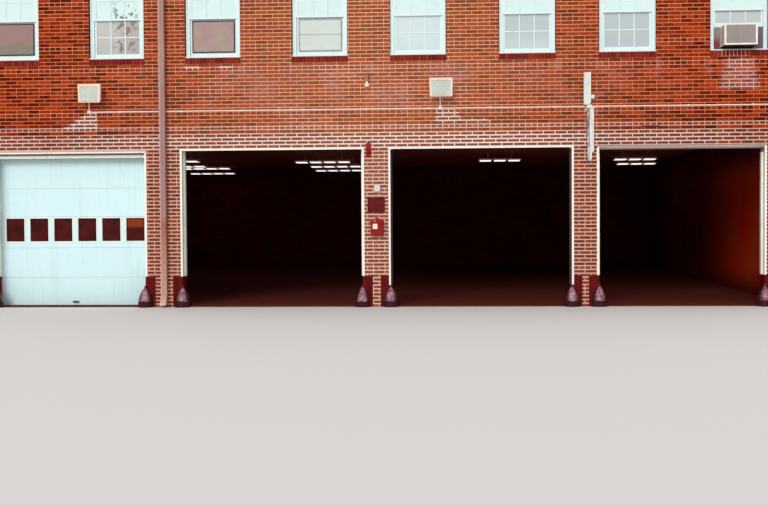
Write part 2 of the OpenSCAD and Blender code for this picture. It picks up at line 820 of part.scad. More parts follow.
// A small turned lamp holder with no lamp, hung from a bracket on the wall
module lamp_holder() {
    holder_h = 183;
    bracket_h = 66;
    out = 50;
    color([0.9, 0.92, 0.9]) translate([-35, front_y, conduit_z + 405]) union() {
        translate([0, -out, 0]) rotate_extrude($fn = 40)
            polygon([[0, 0], [40, 3], [48, 18], [46, 38], [30, 56], [24, 80], [22, 112], [27, 132],
                [28, 156], [18, 178], [8, holder_h], [0, holder_h]]);
        block(-12, 12, -out, 0, 132, 156);
        block(-30, 30, -out - 12, 0, holder_h, holder_h + bracket_h);
    }
}

// A slim cabinet with one cut corner and a side knuckle, over a foot bracket at the conduit
module wall_box() {
    w = 127;
    h = 586;
    d = 95;
    corner = [26, 46];
    foot_h = 64;
    plate_h = 22;
    low = sleeve_top_z + foot_h;
    color(white) translate([wall_box_x, front_y, 0]) union() {
        rotate([90, 0, 0]) linear_extrude(d)
            polygon([[-w / 2, low], [w / 2 - corner[0], low], [w / 2, low + corner[1]],
                [w / 2, low + h], [-w / 2, low + h]]);
        translate([w / 2 - 1, -d / 2, low + 142]) rotate([0, 90, 0]) cylinder(r = 40, h = 66, $fn = 32);
        block(wall_box_foot[0], wall_box_foot[1], -d + 20, 0, sleeve_top_z, low);
        block(0, 135, -d, 0, sleeve_top_z, sleeve_top_z + plate_h);
        translate([0, 0, sleeve_top_z]) rotate([90, 0, 0]) linear_extrude(12)
            polygon([[0, 18], [-44, -40], [-36, -56], [0, -12]]);
    }
}

// A hanging flexible sleeve with a pointed end, cut short at its right edge
module hanging_sleeve() {
    x0 = 1;
    x1 = 120;
    tip = 56;
    step_x = wall_box_foot[1];
    d = 70;
    low = sleeve_top_z - sleeve_l;
    color([0.78, 0.79, 0.82]) translate([wall_box_x, front_y, 0]) rotate([90, 0, 0]) linear_extrude(d)
        polygon([[x0, sleeve_top_z], [x0, low + 70], [x0 + 19, low + 10], [tip, low],
            [step_x, low + 40], [step_x, low + 163], [x1, low + 175], [x1, sleeve_top_z]]);
}

module junction_box() {
    color(white) translate([pier_mid(2) + 17, front_y, 2190]) block(-56, 56, -55, 0, -60, 60);
}

module plaque() {
    color([0.43, 0.1, 0.1]) translate([pier_mid(2) - 4, front_y, 1884]) block(-160, 160, -18, 0, -139, 139);
}

// A gabled cast box with a small raised window
module call_box() {
    low = 1321;
    color([0.78, 0.1, 0.09]) translate([pier_mid(2) + 18, front_y, low]) union() {
        rotate([90, 0, 0]) linear_extrude(120)
            polygon([[-114, 0], [114, 0], [114, 245], [0, 318], [-114, 245]]);
        rotate([90, 0, 0]) linear_extrude(136)
            polygon([[-130, 232], [130, 232], [130, 250], [0, 329], [-130, 250]]);
        translate([-35, 0, 167]) block(-49, 49, -134, -120, -53, 53);
    }
}

// A round gong on an upright backplate
module alarm_bell() {
    gong_r = 44;
    plate_w = 90;
    plate_t = 24;
    plate_low = -106;
    plate_high = 147;
    color([0.66, 0.1, 0.1]) translate([pier_x(2) + 84, front_y, door_head_z - 74]) union() {
        block(-plate_w / 2, plate_w / 2, -plate_t, 0, plate_low, plate_high);
        block(-20, 20, -plate_t, 0, plate_high, plate_high + 22);
        translate([0, -plate_t, 0]) rotate([90, 0, 0]) cylinder(r = gong_r, h = 18, $fn = 48);
        translate([0, -plate_t - 18, 0]) rotate([90, 0, 0])
            cylinder(r1 = gong_r, r2 = gong_r - 20, h = 22, $fn = 48);
    }
}

// The eaves' section: a boxed soffit with a frieze board under it, on the wall face
module eaves_run(length) {
    translate([-length / 2, 0, 0]) rotate([90, 0, 90]) linear_extrude(length)
        polygon([[0, wall_top_z], [0, wall_top_z - eaves_h - frieze_h],
            [-frieze_t, wall_top_z - eaves_h - frieze_h], [-frieze_t, wall_top_z - eaves_h],
            [-eaves_w, wall_top_z - eaves_h], [-eaves_w, wall_top_z]]);
}

module eaves_front_rear() {
    length = building_w + 2 * eaves_w;
    frieze_end = half_w + frieze_t;
    color([0.9, 0.93, 0.92]) for (turn = [0, 180]) rotate([0, 0, turn])
        translate([0, front_y, 0]) difference() {
            eaves_run(length);
            for (side = [-1, 1])
                block(min(side * frieze_end, side * length), max(side * frieze_end, side * length),
                    -frieze_t - cut, cut, wall_top_z - eaves_h - frieze_h - cut, wall_top_z - eaves_h);
        }
}

module eaves_sides() {
    color([0.9, 0.93, 0.92]) for (side = [0, 1]) rotate([0, 0, 180 * side])
        on_left() translate([0, front_y, 0]) eaves_run(building_d);
}

module trough(x0, x1, y0, y1) {
    high = wall_top_z - gutter_drop;
    difference() {
        block(x0, x1, y0, y1, high - gutter_h, high);
        block(x0 + gutter_t, x1 - gutter_t, y0 + gutter_t, y1 - gutter_t,
            high - gutter_h + gutter_t, high + cut);
    }
}

module gutters_front_rear() {
    color([0.86, 0.88, 0.86]) for (turn = [0, 180]) rotate([0, 0, turn])
        trough(-roof_a - gutter_w, roof_a + gutter_w, -roof_b - gutter_w, -roof_b);
}

module gutters_sides() {
    color([0.86, 0.88, 0.86]) for (turn = [0, 180]) rotate([0, 0, turn])
        trough(-roof_a - gutter_w, -roof_a, -roof_b, roof_b);
}

// A hipped sheet of height t: its lower edge at height z runs round half sizes a and b
function hip_points(a, b, z) = [[-a, -b, z], [a, -b, z], [a, b, z], [-a, b, z],
    [0, a - b, z + a * roof_slope], [0, b - a, z + a * roof_slope]];

module hip_sheet(a, b, z, t) {
    polyhedron(points = concat(hip_points(a, b, z), hip_points(a, b, z + t)),
        faces = [[0, 1, 4], [1, 2, 5, 4], [2, 3, 5], [3, 0, 4, 5],
            [6, 10, 7], [7, 10, 11, 8], [8, 11, 9], [9, 11, 10, 6],
            [0, 6, 7, 1], [1, 7, 8, 2], [2, 8, 9, 3], [3, 9, 6, 0]], convexity = 4);
}

module hip(a, b, z) {
    polyhedron(points = hip_points(a, b, z),
        faces = [[0, 4, 1], [1, 4, 5, 2], [2, 5, 3], [3, 5, 4, 0], [0, 1, 2, 3]], convexity = 2);
}

module roof_deck() {
    color([0.6, 0.48, 0.36]) difference() {
        hip(roof_a, roof_b, wall_top_z);
        hip(roof_a, roof_b, wall_top_z - roof_deck_t);
    }
}

module roof_slates() {
    color([0.36, 0.37, 0.4]) hip_sheet(roof_a + slate_lap, roof_b + slate_lap, slate_low_z, slate_t);
}

// A round cap from one point to another
module cap(from, to) {
    way = to - from;
    length = norm(way);
    translate(from) rotate([0, acos(way[2] / length), atan2(way[1], way[0])])
        cylinder(r = ridge_r, h = length, $fn = 8);
}

// Caps stand on the slates' upper face, with their undersides cut to its slopes
module ridge_caps() {
    low = slate_low_z + slate_t;
    a = roof_a + slate_lap;
    b = roof_b + slate_lap;
    peak = low + a * roof_slope;
    skirt = 4 * ridge_r;
    color([0.3, 0.3, 0.32]) difference() {
        union() {
            for (sx = [-1, 1], sy = [-1, 1]) cap([sx * a, sy * b, low], [0, sy * (b - a), peak]);
            cap([0, a - b - ridge_r, peak], [0, b - a + ridge_r, peak]);
        }
        hip(a + skirt, b + skirt, low - skirt * roof_slope);
    }
}

floor_slab();
end_pier_left();
pier_1();
pier_2();
pier_3();
end_pier_right();
front_wall_upper();
left_wall();
right_wall();
rear_wall();
upper_floor();
attic_floor();
door_lintels();
brick_sills();
front_window_frames();
other_window_frames();
front_upper_sashes();
front_lower_sashes();
other_window_sashes();
front_window_glass();
other_window_glass();
front_window_blinds();
other_window_blinds();
air_conditioner();
ac_side_panels();
door_jamb_linings();
door_head_linings();
closed_door_sections();
closed_door_glass();
closed_door_handle();
raised_door_sections();
raised_door_glass();
door_tracks();
door_rails();
ceiling_lights();
corner_guards();
wheel_guards();
downspout();
conduit();
floodlights();
lamp_holder();
wall_box();
hanging_sleeve();
junction_box();
plaque();
call_box();
alarm_bell();
eaves_front_rear();
eaves_sides();
gutters_front_rear();
gutters_sides();
roof_deck();
roof_slates();
ridge_caps();
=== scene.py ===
"""Dresses the two-storey brick fire station: brickwork, windows, bays, fittings and roof."""

from __future__ import annotations

import functools
import json
import logging
import math
from collections.abc import Callable, Iterator, Sequence
from contextlib import contextmanager
from dataclasses import dataclass
from enum import Enum

import bmesh
import bpy
from mathutils import Matrix, Vector

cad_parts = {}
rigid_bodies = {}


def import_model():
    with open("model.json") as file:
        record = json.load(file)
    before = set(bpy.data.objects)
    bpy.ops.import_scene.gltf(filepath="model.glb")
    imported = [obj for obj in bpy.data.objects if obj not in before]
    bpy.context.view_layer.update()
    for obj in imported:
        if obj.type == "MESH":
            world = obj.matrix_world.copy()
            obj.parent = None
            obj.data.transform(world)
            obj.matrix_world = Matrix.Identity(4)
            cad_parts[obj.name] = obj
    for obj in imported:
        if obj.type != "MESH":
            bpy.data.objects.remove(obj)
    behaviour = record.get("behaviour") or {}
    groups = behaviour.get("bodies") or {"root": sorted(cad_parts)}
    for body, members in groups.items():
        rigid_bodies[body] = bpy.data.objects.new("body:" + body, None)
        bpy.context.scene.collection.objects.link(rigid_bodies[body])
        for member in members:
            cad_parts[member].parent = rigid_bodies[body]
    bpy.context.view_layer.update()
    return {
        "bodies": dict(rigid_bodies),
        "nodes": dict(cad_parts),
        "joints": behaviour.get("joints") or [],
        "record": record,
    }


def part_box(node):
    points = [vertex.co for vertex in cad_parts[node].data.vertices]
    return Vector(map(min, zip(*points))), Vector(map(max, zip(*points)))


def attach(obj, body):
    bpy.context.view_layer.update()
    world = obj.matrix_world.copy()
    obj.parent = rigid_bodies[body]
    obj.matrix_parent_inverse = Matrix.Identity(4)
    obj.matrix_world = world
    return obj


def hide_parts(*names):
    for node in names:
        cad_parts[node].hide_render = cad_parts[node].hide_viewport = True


LOG = logging.getLogger("fire_station")

Point = tuple[float, float, float]
Colour = tuple[float, float, float, float]
Test = Callable[[Vector, Vector], bool]
Area = tuple[float, float, float, float]
Laying = tuple[int, float, float, int]
Piece = bpy.types.Object

# Main sizes, in metres

HALF_W, HALF_D, WALL_T = 8.071, 9.15, 0.33
FRONT = -HALF_D
BAYS = ((-7.141, -4.183), (-3.552, -0.102), (0.345, 3.746), (4.166, 7.216))
DOOR_HEAD, SILL, WINDOW, WINDOW_HEAD, WALL_TOP = 2.947, 4.529, 4.635, 6.181, 6.594
FRONT_WINDOWS = (-6.717, -4.719, -2.905, -0.907, 0.907, 2.905, 4.719, 6.717)
SIDE_WINDOWS = tuple(-6.9 + 2.3 * i for i in range(7))
WINDOW_W = 1.04
COOLER_WINDOW = 7
RAISED_SASH = 0.407


class Wall(Enum):
    """The four outer walls, each made lying along X with its face at the front, then turned."""

    FRONT = "front"
    REAR = "rear"
    LEFT = "left"
    RIGHT = "right"

    @property
    def place(self) -> Matrix:
        """The matrix that brings a piece made for the front to this wall.

        Returns:
            The turn about the building's middle, and the move sideways.
        """
        turn = {"front": 0.0, "rear": 180.0, "left": -90.0, "right": 90.0}[self.value]
        aside = {"left": HALF_D - HALF_W, "right": HALF_W - HALF_D}.get(self.value, 0.0)
        return Matrix.Translation((aside, 0, 0)) @ Matrix.Rotation(math.radians(turn), 4, "Z")

    @property
    def windows(self) -> tuple[float, ...]:
        """The middles of this wall's windows along its length."""
        return FRONT_WINDOWS if self in (Wall.FRONT, Wall.REAR) else SIDE_WINDOWS

    @property
    def along(self) -> tuple[int, float]:
        """The world axis that runs along the wall, and its sense."""
        return {"front": (0, 1.0), "rear": (0, -1.0), "left": (1, -1.0), "right": (1, 1.0)}[self.value]

    @property
    def joint_start(self) -> float:
        """Where an upright brick joint lies along the wall."""
        return 0.058 if self in (Wall.FRONT, Wall.REAR) else 0.08


OTHER_WALLS = (Wall.REAR, Wall.LEFT, Wall.RIGHT)


def paint(red: float, green: float, blue: float) -> Colour:
    """Turns a colour as seen on a screen, 0 to 255, into the linear one that a shader takes."""
    seen = [c / 255 for c in (red, green, blue)]
    return (*[c / 12.92 if c <= 0.04045 else ((c + 0.055) / 1.055) ** 2.4 for c in seen], 1.0)


# Modelling


def pick(*pieces: Piece) -> None:
    """Selects these pieces alone and makes the last one active.

    Args:
        pieces: The pieces to select.
    """
    bpy.ops.object.select_all(action="DESELECT")
    for piece in pieces:
        piece.select_set(True)
    bpy.context.view_layer.objects.active = pieces[-1]


@contextmanager
def editing(piece: Piece, test: Test | None = None) -> Iterator[None]:
    """Opens edit mode with the faces picked that pass a test.

    Args:
        piece: The piece to edit.
        test: Takes a face's middle and normal. Without it, all faces are picked.

    Yields:
        Nothing, while edit mode is open.
    """
    pick(piece)
    bpy.ops.object.mode_set(mode="EDIT")
    bpy.ops.mesh.select_mode(type="FACE")
    bpy.ops.mesh.select_all(action="DESELECT" if test else "SELECT")
    if test:
        faces = bmesh.from_edit_mesh(piece.data)
        for face in faces.faces:
            face.select_set(test(face.calc_center_median(), face.normal))
        bmesh.update_edit_mesh(piece.data)
    yield
    bpy.ops.object.mode_set(mode="OBJECT")


def settle(piece: Piece) -> Piece:
    """Applies a piece's place, turn and size to its mesh.

    Args:
        piece: The piece.

    Returns:
        The same piece.
    """
    pick(piece)
    bpy.ops.object.transform_apply(location=True, rotation=True, scale=True)
    return piece


def block(name: str, low: Sequence[float], high: Sequence[float]) -> Piece:
    """Starts a piece from a cube between two corners.

    Args:
        name: The piece's name.
        low: Its lowest corner.
        high: Its highest corner.

    Returns:
        The block, to be shaped further.
    """
    bpy.ops.object.select_all(action="DESELECT")
    middle = [(a + b) / 2 for a, b in zip(low, high)]
    bpy.ops.mesh.primitive_cube_add(size=1, location=middle)
    piece = bpy.context.object
    piece.name = piece.data.name = name
    piece.scale = [b - a for a, b in zip(low, high)]
    return settle(piece)


def turned(
    name: str,
    centre: Point,
    profile: Sequence[tuple[float, float]],
    turn: Point = (0, 0, 0),
    sides: int = 32,
) -> Piece:
    """Raises a turned form ring by ring from a disc.

    Args:
        name: The piece's name.
        centre: Where the turning axis starts.
        profile: Radius and height of each ring, from the bottom up.
        turn: Euler angles of the axis in degrees, upright without it.
        sides: Number of sides of each ring.

    Returns:
        The closed piece.
    """
    bpy.ops.object.select_all(action="DESELECT")
    radius, height = profile[0]
    bpy.ops.mesh.primitive_circle_add(
        vertices=sides, radius=radius, fill_type="NGON", location=(0, 0, height)
    )
    piece = settle(bpy.context.object)
    piece.name = piece.data.name = name
    with editing(piece):
        for r, z in profile[1:]:
            bpy.ops.mesh.extrude_region_move(TRANSFORM_OT_translate={"value": (0, 0, z - height)})
            bpy.ops.transform.resize(value=(r / radius, r / radius, 1), center_override=(0, 0, z))
            radius, height = r, z
        bpy.ops.mesh.select_all(action="SELECT")
        bpy.ops.mesh.normals_make_consistent(inside=False)
    piece.rotation_euler = [math.radians(a) for a in turn]
    piece.location = centre
    settle(piece)
    smoothed(piece, 35)
    return piece


def smoothed(piece: Piece, angle: float) -> Piece:
    """Shades a piece smooth where its faces meet at less than an angle.

    Args:
        piece: The piece.
        angle: The angle in degrees.

    Returns:
        The same piece.
    """
    pick(piece)
    bpy.ops.object.shade_smooth_by_angle(angle=math.radians(angle))
    return piece


def modified(piece: Piece, kind: str, **settings: object) -> Piece:
    """Adds one modifier with its settings and applies it.

    Args:
        piece: The piece.
        kind: The modifier's type.
        settings: Its settings by name.

    Returns:
        The same piece.
    """
    pick(piece)
    modifier = piece.modifiers.new(kind.title(), kind)
    for key, value in settings.items():
        setattr(modifier, key, value)
    bpy.ops.object.modifier_apply(modifier=modifier.name)
    return piece


def bevelled(piece: Piece, width: float, segments: int = 2) -> Piece:
    """Rounds a piece's sharp edges."""
    return modified(piece, "BEVEL", width=width, segments=segments, limit_method="ANGLE")


def repeated(piece: Piece, count: int, step: Sequence[float]) -> Piece:
    """Repeats a piece along a step, in its own mesh.

    Args:
        piece: The piece.
        count: How many there are in the end.
        step: From one to the next.

    Returns:
        The same piece.
    """
    return modified(
        piece,
        "ARRAY",
        count=count,
        use_relative_offset=False,
        use_constant_offset=True,
        constant_offset_displace=step,
    )


def cut_off(piece: Piece, point: Sequence[float], beyond: Sequence[float]) -> Piece:
    """Cuts away what lies beyond a plane and closes the cut.

    Args:
        piece: The piece.
        point: A point of the plane.
        beyond: The direction that is cut away.

    Returns:
        The same piece.
    """
    with editing(piece):
        bpy.ops.mesh.bisect(
            plane_co=point, plane_no=beyond, use_fill=True, clear_outer=True, threshold=1e-6
        )
    return piece


def copied(piece: Piece, matrix: Matrix) -> Piece:
    """Copies a piece with its own mesh, moved by a matrix.

    Args:
        piece: The pattern.
        matrix: The move from it.

    Returns:
        The copy.
    """
    copy = piece.copy()
    copy.data = piece.data.copy()
    bpy.context.collection.objects.link(copy)
    copy.data.transform(matrix)
    return copy


def moved(piece: Piece, matrix: Matrix) -> Piece:
    """Moves a piece's own mesh.

    Args:
        piece: The piece.
        matrix: The move.

    Returns:
        The same piece.
    """
    piece.data.transform(matrix)
    piece.data.update()
    return piece


def joined(name: str, pieces: Sequence[Piece]) -> Piece:
    """Joins pieces into one with a name.

    Args:
        name: The new piece's name.
        pieces: The pieces, of which the last one stays.

    Returns:
        The joined piece.
    """
    pick(*pieces)
    if len(pieces) > 1:
        bpy.ops.object.join()
    piece = bpy.context.object
    piece.name = piece.data.name = name
    return piece


def spread(name: str, pattern: Piece, places: Sequence[Matrix]) -> Piece:
    """Copies a pattern to every place, joins the copies and drops the pattern.

    Args:
        name: The new piece's name.
        pattern: The pattern.
        places: The move to each place.

    Returns:
        The joined piece.
    """
    copies = [copied(pattern, place) for place in places]
    bpy.data.objects.remove(pattern)
    return joined(name, copies)


def ring_frame(name: str, low: Point, high: Point, width: float) -> Piece:
    """Makes a rectangular frame round an opening, standing in the plane of X and Z.

    Args:
        name: The piece's name.
        low: Its lowest corner.
        high: Its highest corner.
        width: How wide its members are.

    Returns:
        The closed frame.
    """
    piece = block(name, low, high)
    for side in (-1, 1):
        with editing(piece, lambda centre, normal: normal.y * side > 0.9):
            bpy.ops.mesh.inset(thickness=width, depth=0)
    x, z = (low[0] + high[0]) / 2, (low[2] + high[2]) / 2
    with editing(
        piece,
        lambda c, n: abs(n.y) > 0.9 and abs(c.x - x) < 1e-4 and abs(c.z - z) < 1e-4,
    ):
        bpy.ops.mesh.bridge_edge_loops()
    return piece


def shift(x: float = 0, y: float = 0, z: float = 0) -> Matrix:
    """A plain move."""
    return Matrix.Translation((x, y, z))


def dress(
    piece: Piece, finish: bpy.types.Material, replaces: Sequence[str] = ()
) -> Piece:
    """Gives a new piece its finish and its place in the object.

    Args:
        piece: The finished piece.
        finish: Its material.
        replaces: CAD nodes that it stands for.

    Returns:
        The piece.
    """
    piece.data.materials.clear()
    piece.data.materials.append(finish)
    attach(piece, "root")
    if replaces:
        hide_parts(*replaces)
    LOG.info("%s: %d faces", piece.name, len(piece.data.polygons))
    return piece


# Finishes


class Signal:
    """A shader socket that takes part in plain expressions."""

    def __init__(self, recipe: Recipe, socket: bpy.types.NodeSocket) -> None:
        """Wraps one output socket."""
        self.recipe, self.socket = recipe, socket

    def _math(self, operation: str, *values: Value) -> Signal:
        """Adds one Math node."""
        return self.recipe.add("ShaderNodeMath", {"operation": operation}, dict(enumerate(values)))

    def __add__(self, other: Value) -> Signal:
        """self + other."""
        return self._math("ADD", self, other)

    def __sub__(self, other: Value) -> Signal:
        """self - other."""
        return self._math("SUBTRACT", self, other)

    def __rsub__(self, other: Value) -> Signal:
        """other - self."""
        return self._math("SUBTRACT", other, self)

    def __mul__(self, other: Value) -> Signal:
        """self * other."""
        return self._math("MULTIPLY", self, other)

    def __truediv__(self, other: Value) -> Signal:
        """self / other."""
        return self._math("DIVIDE", self, other)

    def __mod__(self, other: Value) -> Signal:
        """self % other, never negative."""
        return self._math("FLOORED_MODULO", self, other)

    def __gt__(self, other: Value) -> Signal:
        """1 where self > other."""
        return self._math("GREATER_THAN", self, other)

    def __lt__(self, other: Value) -> Signal:
        """1 where self < other."""
        return self._math("LESS_THAN", self, other)

    def __abs__(self) -> Signal:
        """The distance from zero."""
        return self._math("ABSOLUTE", self)

    __radd__, __rmul__ = __add__, __mul__

    def whole(self) -> Signal:
        """The whole number below."""
        return self._math("FLOOR", self)

    def least(self, other: Value) -> Signal:
        """The smaller of two."""
        return self._math("MINIMUM", self, other)

    def most(self, other: Value) -> Signal:
        """The larger of two."""
        return self._math("MAXIMUM", self, other)

    def rise(self, low: Value, high: Value) -> Signal:
        """Goes smoothly from 0 at low to 1 at high."""
        return self.recipe.add(
            "ShaderNodeMapRange",
            {"interpolation_type": "SMOOTHSTEP"},
            {"Value": self, "From Min": low, "From Max": high},
        )

    def band(self, low: float, high: float, soft: float) -> Signal:
        """1 between low and high, 0 outside, with soft edges."""
        return self.rise(low - soft, low + soft) * (1 - self.rise(high - soft, high + soft))


Value = Signal | float


class Recipe:
    """A material under construction, with the object's own coordinates at hand."""

    def __init__(self, name: str) -> None:
        """Starts a material.

        Args:
            name: The material's name.
        """
        self.material = bpy.data.materials.new(name)
        self.material.use_nodes = True
        self.nodes = self.material.node_tree.nodes
        self.shader = self.nodes["Principled BSDF"]
        self.place = self.add("ShaderNodeTexCoord", {}, {}, "Object")
        parts = self.add("ShaderNodeSeparateXYZ", {}, {0: self.place})
        outputs = parts.socket.node.outputs
        self.x, self.y, self.z = (Signal(self, outputs[i]) for i in range(3))

    def add(
        self, kind: str, settings: dict[str, object], values: dict[int | str, object], output: int | str = 0
    ) -> Signal:
        """Adds any node.

        Args:
            kind: The node's type.
            settings: Its own settings, and a ramp's stops as positions and colours.
            values: What goes into its sockets, a Signal or a plain value.
            output: The output to return.

        Returns:
            That output as a Signal.
        """
        node = self.nodes.new(kind)
        for key, value in settings.items():
            if key == "stops":
                stops = node.color_ramp.elements
                while len(stops) < len(value):
                    stops.new(0.5)
                for stop, (position, colour) in zip(stops, value):
                    stop.position, stop.color = position, colour
            else:
                setattr(node, key, value)
        for key, value in values.items():
            if isinstance(value, Signal):
                self.material.node_tree.links.new(value.socket, node.inputs[key])
            else:
                node.inputs[key].default_value = value
        return Signal(self, node.outputs[output])

    def point(self, x: Value, y: Value = 0.0, z: Value = 0.0) -> Signal:
        """A vector of three values."""
        return self.add("ShaderNodeCombineXYZ", {}, {0: x, 1: y, 2: z})

    def noise(self, scale: float, detail: float = 3, where: Signal | None = None) -> Signal:
        """Cloudy noise, 0 to 1."""
        values = {"Vector": where or self.place, "Scale": scale, "Detail": detail}
        return self.add("ShaderNodeTexNoise", {}, values)

    def dice(self, x: Value, y: Value = 0.0, z: Value = 0.0) -> Signal:
        """One even random number for each whole place."""
        where = self.point(x, y, z)
        return self.add("ShaderNodeTexWhiteNoise", {"noise_dimensions": "3D"}, {"Vector": where})

    def stretched(self, x: float, y: float, z: float) -> Signal:
        """The object's coordinates, scaled by axis."""
        values = {"Vector": self.place, "Scale": (x, y, z)}
        return self.add("ShaderNodeMapping", {}, values)

    def mix(self, share: Value, first: object, second: object) -> Signal:
        """A colour between two."""
        return self.add(
            "ShaderNodeMix", {"data_type": "RGBA"}, {0: share, 6: first, 7: second}, 2
        )

    def ramp(self, value: Value, *stops: tuple[float, Colour]) -> Signal:
        """A colour picked along a ramp."""
        return self.add("ShaderNodeValToRGB", {"stops": stops}, {0: value})

    def facing(self) -> tuple[Signal, Signal, Signal]:
        """How far the surface faces along each axis, either way.

        Returns:
            The shares along X, Y and Z.
        """
        normal = self.add("ShaderNodeNewGeometry", {}, {}, "Normal")
        parts = self.add("ShaderNodeSeparateXYZ", {}, {0: normal}).socket.node.outputs
        return tuple(abs(Signal(self, parts[i])) for i in range(3))

    def finish(
        self,
        base: object,
        rough: object = 0.6,
        relief: Signal | None = None,
        depth: float = 0.001,
        **constants: object,
    ) -> bpy.types.Material:
        """Connects the shader.

        Args:
            base: Colour.
            rough: Roughness.
            relief: Height for a bump, 0 to 1.
            depth: What a relief of 1 stands for, in metres.
            constants: Other inputs by name, with spaces written as underscores.

        Returns:
            The material.
        """
        inputs = {"Base Color": base, "Roughness": rough}
        inputs |= {key.replace("_", " "): value for key, value in constants.items()}
        if relief is not None:
            inputs["Normal"] = self.add(
                "ShaderNodeBump", {}, {"Strength": 1.0, "Distance": depth, "Height": relief}
            )
        for key, value in inputs.items():
            if isinstance(value, Signal):
                self.material.node_tree.links.new(value.socket, self.shader.inputs[key])
            else:
                self.shader.inputs[key].default_value = value
        return self.material


@dataclass(frozen=True)
class CoatFinish:
    """Paint, sheet or plaster with soft clouds of tone, run-down dirt, specks and a fine relief."""

    name: str
    colour: Colour
    worn: Colour
    dirt: Colour
    wear: float = 0.3
    runs: float = 0.15
    specks: float = 0.1
    rough: float = 0.45
    grain: float = 90.0
    relief: float = 0.0006
    metal: float = 0.0
    coat: float = 0.0
    shine: float = 0.5

    def make(self) -> bpy.types.Material:
        """Builds the material.

        Returns:
            The material.
        """
        r = Recipe(self.name)
        clouds = r.noise(1.6, 5)
        patches = r.noise(9, 6).rise(0.52, 0.68) * self.wear
        streaks = r.noise(1, 4, r.stretched(14, 14, 0.9)).rise(0.5, 0.75) * self.runs
        dots = r.add("ShaderNodeTexVoronoi", {}, {"Scale": 26.0}, "Distance")
        spots = (1 - dots.rise(0.02, 0.09)) * self.specks
        base = r.mix(patches, self.colour, self.worn)
        base = r.mix((streaks + spots).least(0.9), base, self.dirt)
        base = r.mix(clouds.rise(0.3, 0.75) * 0.12, base, self.worn)
        rough = self.rough + patches * 0.25 + streaks * 0.4
        fine = r.noise(self.grain, 4)
        gloss = {"Metallic": self.metal, "Coat_Weight": self.coat, "Specular_IOR_Level": self.shine}
        return r.finish(base, rough, fine, self.relief, **gloss)


@dataclass(frozen=True)
class Brickwork:
    """Common bond: five courses of stretchers and one of headers, the same grid in mesh and colour."""

    length: float = 0.216
    course: float = 0.0688
    joint: float = 0.013
    under_heads: int = 42
    base: float = DOOR_HEAD - under_heads * course
    proud: float = 0.006
    bed: float = 0.005
    ticked: int = 47
    usual: tuple[Laying, ...] = ((0, 0.0, 1.0, 3), (1, -0.5, 1.0, 2), (5, 0.0, 0.5, 1))
    over_bays: tuple[Laying, ...] = ((0, -0.5, 1.0, 1), (1, 0.0, 1.0, 1), (2, 0.0, 0.5, 1))

    def height(self, row: int) -> float:
        """Where a course starts."""
        return self.base + row * self.course

    def cells(self, r: Recipe, wall: Wall) -> tuple[Signal, Signal, Signal, Signal, Signal]:
        """The brick that a point lies in.

        Args:
            r: The recipe.
            wall: The wall. On the front the lowest header course lies two courses higher.

        Returns:
            The brick's number along the wall, its course, 1 where that course has headers, and the
            distances to the middle of the nearest bed joint and upright joint in metres.
        """
        axis, sense = wall.along
        run = ((r.x, r.y)[axis] * sense - wall.joint_start) / self.length
        level = (r.z - self.base) / self.course
        row = level.whole()
        kind = row % 6
        header = (abs(kind - 3) < 0.5) * 1.0
        odd = (abs(kind - 5) < 0.5) + (abs(kind - 1) < 0.5)
        if wall is Wall.FRONT:
            lower, ticked = abs(row - (self.ticked - 2)) < 0.5, abs(row - self.ticked) < 0.5
            header, odd = header - lower + ticked, odd + lower - ticked
        place = run * (1 + header) + odd * 0.5
        column = place.whole()
        bed = (0.5 - abs(level - row - 0.5)) * self.course
        head = (0.5 - abs(place - column - 0.5)) * self.length / (1 + header)
        return column, row, header, bed, head

    def field(
        self, wall: Wall, area: Area, soft: bool, courses: tuple[Laying, ...] = usual, rise: int = 6
    ) -> Piece:
        """Lays the bricks of one rectangle of wall.

        Args:
            wall: The wall, for its grid.
            area: Left, right, lower and upper edge.
            soft: Whether the bricks' outer arrises are rounded off.
            courses: Each kind of course: its number in the pattern, its shift in bricks, its bricks'
                length and how often it comes back two courses higher.
            rise: Number of courses after which the pattern starts again.

        Returns:
            The bricks in one piece, at the front.
        """
        x0, x1, z0, z1 = area
        unit = rise * self.course
        first = math.floor((z0 - self.base) / self.course + 1e-6)
        start = first - (first - 4) % 6 if rise == 6 else first
        units = math.ceil((z1 - self.height(start)) / unit - 1e-6)
        left = math.floor((x0 - wall.joint_start) / self.length) - 1
        count = math.ceil((x1 - x0) / self.length) + 2
        y0, y1 = FRONT - self.proud, FRONT + self.bed
        gap = self.joint / 2
        rows = []
        for row, offset, share, repeats in courses:
            span = self.length * share
            x = wall.joint_start + (left + offset) * self.length
            z = self.height(start + row)
            brick = block("brick", (x + gap, y0, z + gap), (x + span - gap, y1, z + self.course - gap))
            if soft:
                with editing(brick, lambda centre, normal: normal.y < -0.9):
                    bpy.ops.mesh.bevel(offset=0.003, segments=1, affect="EDGES")
            repeated(brick, round(count / share), (span, 0, 0))
            rows.append(repeated(brick, repeats, (0, 0, 2 * self.course)))
        bricks = repeated(joined("bricks", rows), units, (0, 0, unit))
        for point, beyond in (
            ((x0, 0, 0), (-1, 0, 0)),
            ((x1, 0, 0), (1, 0, 0)),
            ((0, 0, z0), (0, 0, -1)),
            ((0, 0, z1), (0, 0, 1)),
        ):
            cut_off(bricks, point, beyond)
        return bricks


BOND = Brickwork()


